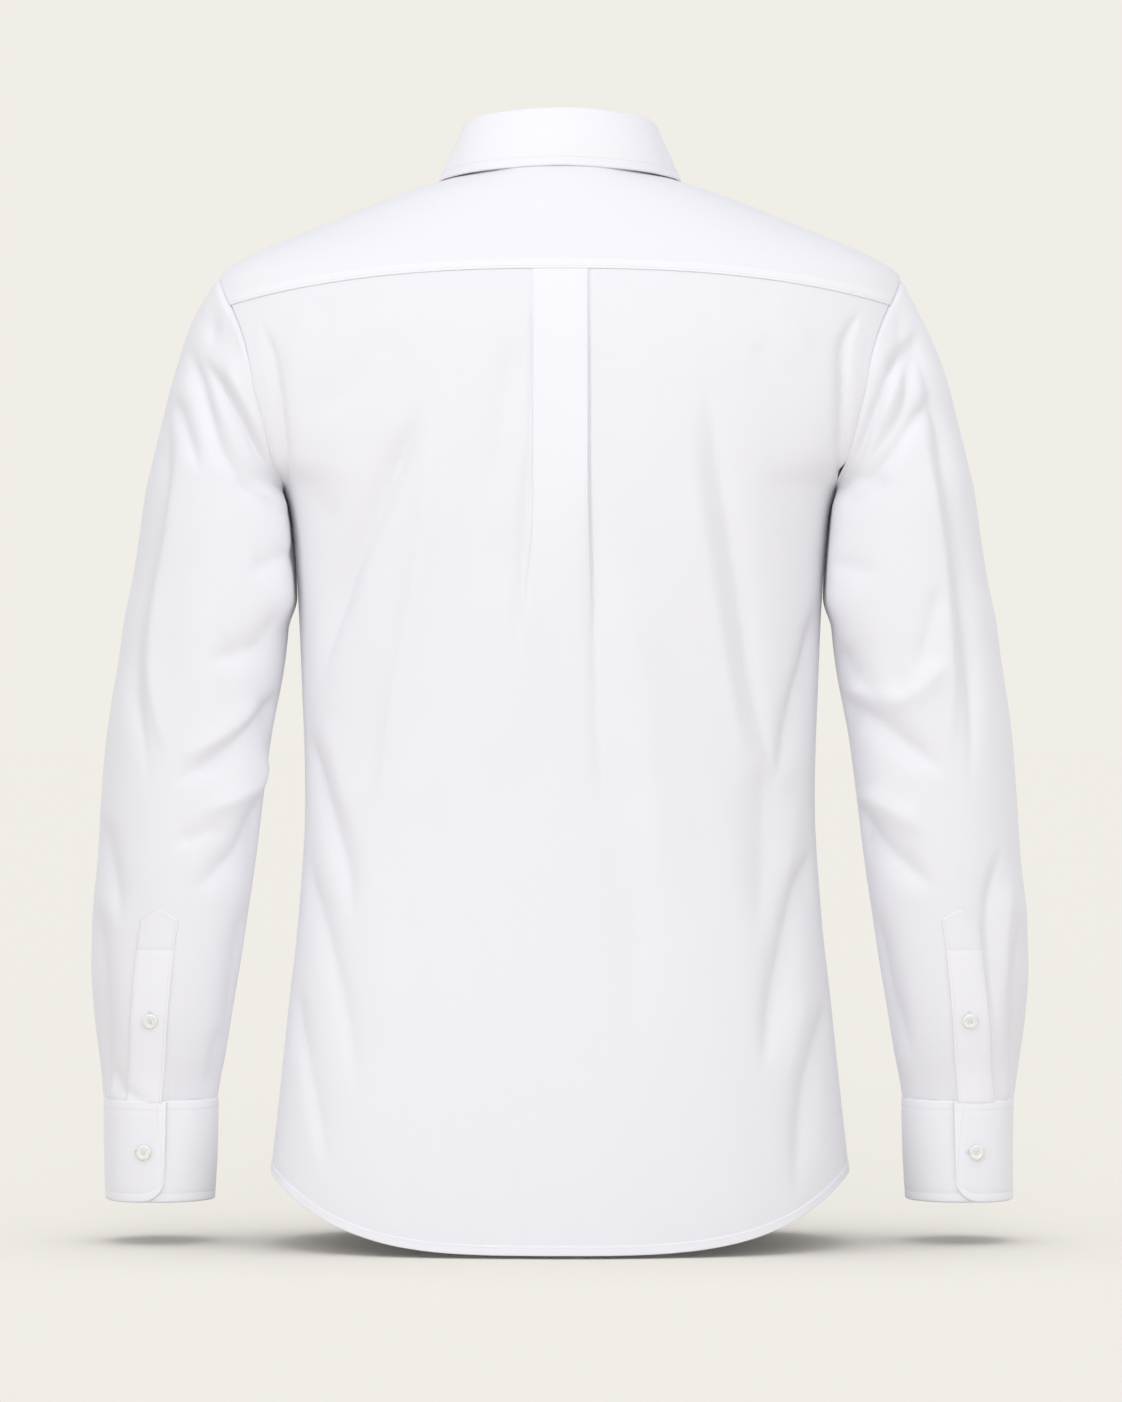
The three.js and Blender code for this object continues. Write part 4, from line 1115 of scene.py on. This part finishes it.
RIGHT_BEHIND = from_photo(SLEEVE_DEPTH, [
    (-2.1, 5, 5, (895, 283), (897, 315), (901, 350)),
    (-5.0, 6, 6, (922, 328), (893, 366), (879, 398), (865, 431), (846, 473), (837, 498)),
    (2.0, 6, 6, (904, 366), (888, 402), (870, 438), (854, 470)),
    (-3.0, 6, 6, (919, 324), (911, 371), (904, 408), (883, 440), (862, 469)),
    (-3.3, 6, 7, (939, 390), (907, 431), (883, 463), (860, 492)),
    (-4.3, 6, 7, (910, 325), (928, 380), (941, 430), (946, 470), (956, 530), (966, 621),
     (971, 680), (972, 745), (967, 805)),
    (2.3, 9, 5, (923, 420), (935, 500), (945, 570), (950, 640), (953, 700), (949, 775)),
    (-1.9, 7, 7, (838, 508), (866, 490), (895, 477)),
    (-1.9, 7, 7, (827, 564), (850, 567), (880, 572)),
    (-2.7, 9, 9, (833, 635), (848, 668), (868, 690), (893, 704)),
    (-1.9, 7, 8, (942, 578), (932, 620), (922, 655), (910, 695)),
    (2.7, 8, 8, (840, 680), (862, 692), (886, 698), (912, 693)),
    (2.1, 8, 8, (950, 655), (925, 685), (900, 703), (877, 713)),
    (-4.6, 9, 9, (833, 686), (850, 708), (871, 720), (892, 735), (920, 755), (950, 775)),
    (2.7, 8, 9, (855, 787), (878, 802), (900, 815), (928, 835)),
    (-4.0, 9, 10, (847, 795), (862, 820), (880, 845), (908, 870), (942, 893)),
    (-2.7, 5, 6, (1005, 838), (995, 875), (988, 920), (992, 990), (999, 1045)),
    (1.6, 5, 5, (1013, 872), (1006, 940), (1005, 1008)),
    (-3.1, 5, 5, (1023, 908), (1019, 960), (1015, 1032), (1011, 1098)),
    (-2.7, 7, 8, (866, 893), (880, 950), (892, 1000), (905, 1040), (917, 1075)),
])
# The same kinds of crease on the hidden fronts of the sleeves.
LEFT_BEFORE = [
    (-3.8, 8, 9, (308, -322), (270, -366), (222, -396)),
    (2.6, 8, 8, (322, -346), (284, -386), (232, -414)),
    (-4.0, 9, 10, (328, -384), (290, -418), (226, -450)),
    (-3.2, 7, 7, (238, -120), (258, -190), (270, -270)),
    (-3.4, 6, 7, (276, -140), (292, -250), (298, -350)),
    (-2.6, 6, 6, (214, -150), (228, -190), (250, -228)),
    (-2.4, 8, 8, (334, -510), (304, -560), (284, -630)),
    (-2.4, 8, 8, (256, -490), (258, -580), (268, -655)),
]
RIGHT_BEFORE = [
    (-4.0, 9, 8, (-304, -312), (-268, -352), (-216, -380)),
    (2.4, 8, 8, (-320, -340), (-282, -376), (-226, -400)),
    (-3.8, 10, 9, (-326, -376), (-290, -414), (-226, -438)),
    (-3.4, 7, 7, (-240, -116), (-262, -194), (-272, -260)),
    (-3.2, 7, 6, (-280, -150), (-294, -260), (-300, -370)),
    (-2.6, 6, 6, (-212, -152), (-226, -196), (-246, -236)),
    (-2.2, 8, 8, (-332, -500), (-308, -570), (-288, -640)),
    (-2.6, 8, 8, (-252, -470), (-256, -560), (-270, -650)),
]
CUFF_PLEATS = (31, -16)


def section_point(table, turn, z, grow=0):
    """A level section of an arm: an oval between its outer and inner sides and its back and
    front, grown by a distance."""
    outer, inner, back, front = level(table, z)
    x = (outer + inner) / 2 + ((outer - inner) / 2 + grow) * np.cos(turn)
    y = (back + front) / 2 + ((back - front) / 2 + grow) * np.sin(turn)
    return np.stack([x, y, z + 0 * x], -1)


# Where an arm's outer side leaves its solid, by side: middle height, reach up and down, distance.
OUTER_SHIFTS = {1: ((-95, 26, 3.2),), -1: ((-450, 80, -1.5), (-690, 50, -2.4))}


def nudged(points, turn, side):
    """An arm's outline where it leaves its solid: below the underarm its inner side hangs against
    the body and is pressed flatter there, the left head is fuller, and the right cuff slimmer. Each
    fades around the arm by a power of the cosine, but the flattening by a bell about its middle."""
    z = points[..., 2]
    outwards = np.clip(np.cos(turn), 0, 1) ** 2
    inwards = np.clip(-np.cos(turn), 0, 1) ** 4
    touching = level(BODY, z)[0] + 0.6 - level(SLEEVE, z)[1]
    reaches = ease((-224 - z) / 10) * ease((z + 322) / 24)
    shift = touching * reaches * inwards
    from_inside = np.abs(np.degrees(turn) % 360 - 180)
    hug = 10 * bell(from_inside - 38, 24) * (1 - inwards**4)
    shift = shift - hug * ease((-212 - z) / 16) * ease((z + 345) / 50)
    for middle, tall, moved in OUTER_SHIFTS[side]:
        shift = shift + moved * bell(z - middle, tall) * outwards
    return points + shift[..., None] * (1, 0, 0)


def sleeve_point(turn, share):
    """The head starts at the armhole seam and eases, by the square of what is left, into the
    level sections of the arm."""
    turn = np.where(turn > math.pi, turn - 2 * math.pi, turn)
    seam_z = armhole_seam(turn)[..., 1] - SEAM
    end_z = SLEEVE_END_Z - 2.0
    on_cap = seam_z + (CAP_END_Z - seam_z) * share / CAP_SHARE
    on_arm = CAP_END_Z + (end_z - CAP_END_Z) * (share - CAP_SHARE) / (1 - CAP_SHARE)
    z = np.where(share < CAP_SHARE, on_cap, on_arm)
    points = section_point(SLEEVE, turn, z)
    place = armhole_seam(turn)
    seam = body_point(place[..., 0], place[..., 1]) + (0.5, 0, -SEAM)
    miss = seam - section_point(SLEEVE, turn, seam_z)
    return points + miss * (np.clip(1 - share / CAP_SHARE, 0, 1) ** 2)[..., None]


def above_cuff(up):
    """1 at the cuff, fading out over 30 mm above it."""
    return ease((30 - up) / 30)


def cuff_lift(turn):
    """How far the cuff's outer end stands off to pass over its other end."""
    return (DOUBLE + LIFT) * ease((turn - math.radians(14)) / math.radians(40))


def sleeve_relief(points, turn, side):
    """Creases of the sleeve, which fade where it turns out of sight, and two pleats into the
    cuff: each a ridge beside a sharper trough. points are the sleeve's, on its own side."""
    x, z = seen(points)
    rows = (LEFT_BEHIND, LEFT_BEFORE) if side > 0 else (RIGHT_BEHIND, RIGHT_BEFORE)
    total = creases(rows[0], x, z) * ease(np.sin(turn) / 0.3)
    before = creases(rows[1], points[..., 0], points[..., 2])
    total = total + before * ease(-np.sin(turn) / 0.3)
    up = points[..., 2] - SLEEVE_END_Z
    full = ease((up + 3) / 9) * ease(1 - up / 120)
    degrees = np.degrees(turn)
    for pleat_turn in CUFF_PLEATS:
        off = (degrees - pleat_turn + 180) % 360 - 180
        wide = 1 + 1.4 * ease(up / 110)
        ridge = bell(off - 7 * wide, 8 * wide)
        trough = bell(off + 2 * wide, 4.5 * wide)
        total = total + full * (1.8 * ridge - 2.6 * trough)
    around = np.cos(turn) * 90 + 40 * np.sin(turn)
    hang = ripple(around, points[..., 2], 34, 90, SLEEVE_SEED)
    return total + 0.6 * hang * ease((1 + np.cos(turn)) / 0.3)


def make_sleeve_tube(name, side):
    """The sleeve from armhole to cuff. Its end rises to the middle of the cuff's wall, where a
    real one is sewn between the cuff's two layers."""
    near_seam = [0, 0.0012, 0.0025, 0.004, 0.006, 0.009, 0.0125]
    near_cuff = [0.989, 0.992, 0.9945, 0.9965, 0.998, 1]
    shares = np.concatenate([near_seam, np.linspace(0.017, 0.985, 168), near_cuff])
    around = np.linspace(0, 2 * math.pi, 181)[:-1]
    turn, share = np.meshgrid(around, shares)
    points = nudged(sleeve_point(turn, share), turn, side) * (side, 1, 1)
    height = sleeve_relief(points, turn, side) * ease((share - 0.004) / 0.05)
    tuck = ease(1 - share / 0.006)
    points = points + tuck[..., None] * (-1.6 * side, 0, 0)
    up = points[..., 2] - SLEEVE_END_Z
    lap = cuff_lift(turn) * ease((math.radians(101) - turn) / math.radians(4))
    height = height - 0.8 * ease(1 - share / 0.008) + (lap - 0.1) * above_cuff(up)
    height = height - 0.5 * ease((2.5 - up) / 3)
    points = raised(points, height, -side, wrap=True)
    cloth(name + "_sleeve_cloth", points, -side, ONE_LAYER, COTTON, name + "_sleeve", wrap=True)


def make_gauntlet(name, side):
    """The gauntlet is made from the sleeve's own places, moved out, with a pointed top. It leans
    towards the inner side as it rises, and is a little broader there. A stitched line crosses it
    where its lower part, which opens, ends."""
    crossed = 0.79
    rows = [np.linspace(0, 0.775, 50), [0.784, crossed, 0.796, 0.804], np.linspace(0.82, 1, 14)]
    rows = np.concatenate(rows)
    columns = [[0, 0.03, 0.06, 0.09], np.linspace(0.14, 0.86, 14), [0.91, 0.94, 0.97, 1]]
    columns = np.concatenate(columns)
    u, v = np.meshgrid(columns, rows)
    z = SLEEVE_END_Z + SEAM + (GAUNTLET_TOP_Z - SLEEVE_END_Z - SEAM) * v
    z = z - GAUNTLET_POINT * np.abs(2 * u - 1) * ease((v - 0.81) / 0.19)
    outer, inner = level(SLEEVE, z)[:2]
    edge_turn = GAUNTLET_EDGE + np.radians(6 * v - 2)
    turn = edge_turn - (GAUNTLET_WIDTH + 1.5 + 1.5 * v) / ((outer - inner) / 2) * u
    points = nudged(section_point(SLEEVE, turn, z), turn, side) * (side, 1, 1)
    up = z - SLEEVE_END_Z
    height = sleeve_relief(points, turn, side) + cuff_lift(turn) * above_cuff(up)
    cross_stitch = bell(v - crossed, 0.006)
    opened = 0.5 * ease((0.06 - u) / 0.06) * ease((0.78 - v) / 0.1)
    height = height + 1.0 + opened - 0.35 * cross_stitch
    points = raised(points, height, -side)
    layers = 0.25 + 0.75 * ease((crossed - v) / 0.01)
    node_name = name + "_gauntlet"
    cloth(name + "_gauntlet_cloth", points, -side, GAUNTLET_THICK, COTTON, node_name, layers)


def make_cuff(name, side):
    """A barrel cuff: a strip of two layers with a rounded corner, turned once round the wrist
    and lapped. Its outer end is cut by a quarter circle."""
    reach = 2 * math.pi + CUFF_LAP
    near_end = [0, 0.002, 0.005, 0.01, 0.016, 0.024, 0.034, 0.046, 0.06]
    columns = np.concatenate([near_end, np.linspace(0.075, 1, 118)])
    near_top = [0, 0.8, 1.8, 3.2, 4.8, 5.6, 6.0, 6.4, 7.4]
    rows = spaced(CUFF_LONG, near_top, 3.2, [7.4, 6.4, 6, 5.6, 4.6, 3, 1.4, 0])
    u, v = np.meshgrid(columns, rows)
    turn = CUFF_EDGE - reach * u
    corner = np.clip(1 - reach * CUFF_R * u / CUFF_CORNER, 0, 1)
    cut = CUFF_CORNER * (1 - np.sqrt(1 - corner**2))
    top_z = SLEEVE_END_Z + 0.4
    z = top_z + (CUFF_END_Z + cut - top_z) * v
    from_edge = np.minimum(np.minimum(v, 1 - v) * CUFF_LONG, u * reach * (CUFF_R + 1))
    dent = 0.22 * bell(from_edge - WIDE_STITCH, 0.6)
    grow = cuff_lift(turn) + 0.4 + 0.5 * np.sin(math.pi * v) - dent
    grow = grow + 0.35 * ripple(turn * CUFF_R, z, 22, 60, CUFF_SEED)
    points = nudged(section_point(CUFF, turn, z, grow), turn, side) * (side, 1, 1)
    layers = 0.6 + 0.4 * ease((6.4 - from_edge) / 0.8)
    cloth(name + "_cuff_cloth", points, side, CUFF_THICK, LINED, name + "_cuff", layers)


STAND_END = math.pi + math.asin(BAND_HALF / NECK_HALF)
STAND_HEIGHT = 30
COLLAR_POINT = math.radians(151)
FALL_END = math.radians(176)
ROLL_R = 2.2
ROLL_SHARE = 0.35
# turn in degrees below zero, across, out to the back, height of the fall's outer edge
FALL_EDGE = np.array(
    [
        (30, -41, 64.5, 6.6),
        (0, 0, 74.0, 8),
        (-30, 41, 64.5, 6.6),
        (-60, 72.5, 41, 4.4),
        (-90, 88, 4, 1.6),
        (-112, 86.5, -25, -13.5),
        (-130, 74.5, -55, -42),
        (-143, 60, -78.5, -70),
        (-151, 50, -91, -89),
    ],
    float,
)


def stand_point(turn, share, grow):
    """The stand rises from the neck seam, leaning in most at the back, a little lower at the
    sides than behind."""
    place = neck_seam(turn)
    base = body_point(place[..., 0], place[..., 1])
    inward = unit(base * (-1, -1, 0))
    front = (1 - np.cos(turn)) / 2
    lean = 0.24 - 0.2 * front
    rise = (STAND_HEIGHT - 2.6 * ease(np.abs(turn) / math.radians(54))) * share
    base = base + inward * (lean * rise - grow)[..., None]
    base[..., 2] += rise * (1 - 0.04 * front) + SEAM * 3
    return base


def stand_lap(turn):
    """How far the stand's left end stands off to pass over its right end."""
    return (DOUBLE + LIFT) * ease((turn - math.radians(150)) / math.radians(24))


def steadied(points, times):
    """Evens out the kink where the neck seam crosses the top of the shoulder: each column goes
    halfway to the middle of its neighbours, some times over, and the ends stay."""
    points = points.copy()
    for _ in range(times):
        points[:, 1:-1] = (points[:, :-2] + 2 * points[:, 1:-1] + points[:, 2:]) / 4
    return points


def make_stand():
    """The stand: a strip of two layers round the neck seam, its upper corners rounded."""
    u, v = np.meshgrid(np.linspace(0, 1, 161), np.linspace(0, 1, 15))
    turn = STAND_END * (2 * u - 1)
    rounded = np.clip(1 - (1 - np.abs(2 * u - 1)) * 28, 0, 1)
    share = v * (1 - 0.35 * (1 - np.sqrt(1 - rounded**2)))
    points = steadied(stand_point(turn, share, stand_lap(turn)), 24)
    cloth("collar_stand_cloth", points, -1, STAND_THICK, LINED, "collar_stand", 0 * u + 0.8)


def make_fall():
    """The fall rolls over the stand's top through half a circle and comes down to its edge."""
    rows = [np.linspace(0, ROLL_SHARE, 15)[:-1], np.linspace(ROLL_SHARE, 1, 40)]
    u, v = np.meshgrid(np.linspace(0, 1, 201), np.concatenate(rows))
    side, away = np.where(u < 0.5, -1, 1), np.abs(2 * u - 1)
    turn = side * FALL_END * away
    top = steadied(stand_point(turn, 0 * turn + 1, stand_lap(turn)), 48)
    x, y, z = level(FALL_EDGE, -np.degrees(COLLAR_POINT) * away)
    edge = np.stack([side * x, y, z], -1)
    out = unit(top * (1, 1, 0))
    roll = np.clip(v / ROLL_SHARE, 0, 1) * math.pi
    crest = top + out * (ROLL_R * (1 - np.cos(roll)) + 0.2)[..., None]
    crest[..., 2] += DOUBLE + 1 + ROLL_R * np.sin(roll)
    down = np.clip((v - ROLL_SHARE) / (1 - ROLL_SHARE), 0, 1)
    belly = 3 * np.sin(math.pi * down) * (1 - away)
    points = mix(crest, edge, down) + out * belly[..., None]
    cloth("collar_fall_cloth", points, 1, FALL_THICK, LINED, "collar_fall", 0 * u + 0.9)


# A button's height, how far its rim falls away and its middle is dished, and its holes: distance
# from the middle, radius and depth.
BUTTON_THICK = 2.3
RIM_FALL = 1.3
DISH = 0.35
HOLE_AT = 1.25
HOLE_R = 0.55
HOLE_DEEP = 0.7


def make_button(node_name, piece, hole_along):
    """A four-hole shirt button: a dished disc with a rounded rim, its face a height over radius
    and turn with four wells, and crossed threads over them. It sits on the piece under its node,
    over a worked buttonhole that runs the way given."""
    low, high = (np.array(c) * 1000 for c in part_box(node_name))
    foot, up = laid_on(piece, (low + high)[None] / 2)
    base, up = foot[0] + up[0] * 0.5, up[0]
    ahead = unit(np.cross(up, (0.0, 0.0, 1.0)))
    side = np.cross(up, ahead)
    radii = [0, 0.4, 0.7, 0.9, 1.05, 1.25, 1.45, 1.6, 1.8, 2.1]
    radii += [2.6, 3.0, 3.3, 3.7, 4.2, 4.7, 5.1, 5.35, 5.5]
    r, a = np.meshgrid(radii, np.linspace(0, 2 * math.pi, 49)[:-1], indexing="ij")
    x, y = r * np.cos(a), r * np.sin(a)
    face = BUTTON_THICK - RIM_FALL * np.clip((r - 4.6) / 0.9, 0, 1) ** 2.4
    face = face - DISH * (1 - ease((r - 2.9) / 0.8))
    wells = [math.radians(45 + 90 * k) for k in range(4)]
    for well in wells:
        far = np.hypot(x - HOLE_AT * math.cos(well), y - HOLE_AT * math.sin(well))
        face = face - HOLE_DEEP * ease((HOLE_R - far) / 0.3)
    under = 0.9 * np.clip((r - 4.2) / 1.3, 0, 1) ** 2
    index = np.arange(r.size).reshape(r.shape)
    below = index + r.size
    below[-1] = index[-1]
    faces = shell_faces(closed(index).T, closed(below).T)
    vertices = []
    for h in (face, under):
        place = base + x[..., None] * ahead + y[..., None] * side + h[..., None] * up
        vertices.append(place.reshape(-1, 3))
    made = mesh_object(node_name + "_pearl", np.concatenate(vertices), faces)
    made.data.materials.append(PEARL)
    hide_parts(node_name)
    crossing = np.array([ahead + side, ahead - side]) / math.sqrt(2)
    on_top = base + up * np.array([[2.0], [2.15]])
    add_threads(on_top, crossing, np.array([up, up]), 2 * HOLE_AT + 0.9, 0.3)
    buttonhole(piece, foot[0] + np.array(hole_along) * 1.5, hole_along)


def make_floor():
    """A plain floor just under the hem."""
    mesh = bpy.data.meshes.new("floor")
    ways = ((-1, -1), (1, -1), (1, 1), (-1, 1))
    corners = [(x * FLOOR_HALF / 1000, y * FLOOR_HALF / 1000, FLOOR_Z / 1000) for x, y in ways]
    mesh.from_pydata(corners, [], [(0, 1, 2, 3)])
    mesh.materials.append(paper("studio_paper"))
    made = placed("floor", mesh)
    return made


def light_sides(floor):
    """Lights that each reach only the body, an arm or the floor, so that each is lit evenly."""
    meshes = [o for o in bpy.context.scene.objects if o.type == "MESH" and not o.hide_render]
    shown = [o for o in meshes if o != floor]
    left_arm, right_arm = (
        [o for o in shown if name in o.name and "front" not in o.name] for name, _ in SIDES
    )
    body = [o for o in shown if o not in left_arm and o not in right_arm]
    make_sun("body_side", 0.42, (-0.62, -0.66, -0.42), 24, body)
    make_softbox("body_back", 6.2, (-0.25, 1.6, 0.8), 1.2, body)
    make_sun("left_arm_side", 0.52, (0.50, -0.76, -0.42), 24, left_arm)
    make_sun("right_arm_side", 0.52, (-0.50, -0.76, -0.42), 24, right_arm)
    make_sun("arms_top", 0.75, (0, -0.25, -0.97), 60, left_arm + right_arm)
    make_sun("backdrop", 0.69, (0, 0, -1), 40, [floor])


make_back()
make_yoke()
make_fronts()
make_band()
make_stand()
make_fall()
for name, side in SIDES:
    make_sleeve_tube(name, side)
    make_gauntlet(name, side)
    make_cuff(name, side)
    make_button("button_%s_cuff" % name, name + "_cuff_cloth", (1, 0, 0))
    make_button("button_%s_gauntlet" % name, name + "_gauntlet_cloth", (0, 0, 1))
    sew(line_inside(name + "_front_cloth", "start", HEM_STITCH))
    sew(line_inside(name + "_front_cloth", "right", EDGE_STITCH, (0, 0.7)))
    for edge in ("start", "end", "left"):
        sew(line_inside(name + "_cuff_cloth", edge, WIDE_STITCH))
    for edge in ("left", "right", "end"):
        sew(line_inside(name + "_gauntlet_cloth", edge, EDGE_STITCH))
for k in range(7):
    make_button("button_front_%d" % (k + 1), "front_band_cloth", (0, 0, 1))
make_button("button_collar", "collar_stand_cloth", (1, 0, 0))
sew(line_inside("yoke_cloth", "end", EDGE_STITCH, (0.2, 0.8)))
sew(line_inside("back_panel_cloth", "start", HEM_STITCH))
for edge in ("left", "right"):
    sew(line_inside("front_band_cloth", edge, WIDE_STITCH))
    sew(line_inside("collar_fall_cloth", edge, WIDE_STITCH, (0.4, 1)))
sew(line_inside("collar_fall_cloth", "end", WIDE_STITCH))
finish_stitches(THREAD_WHITE)
light_sides(make_floor())
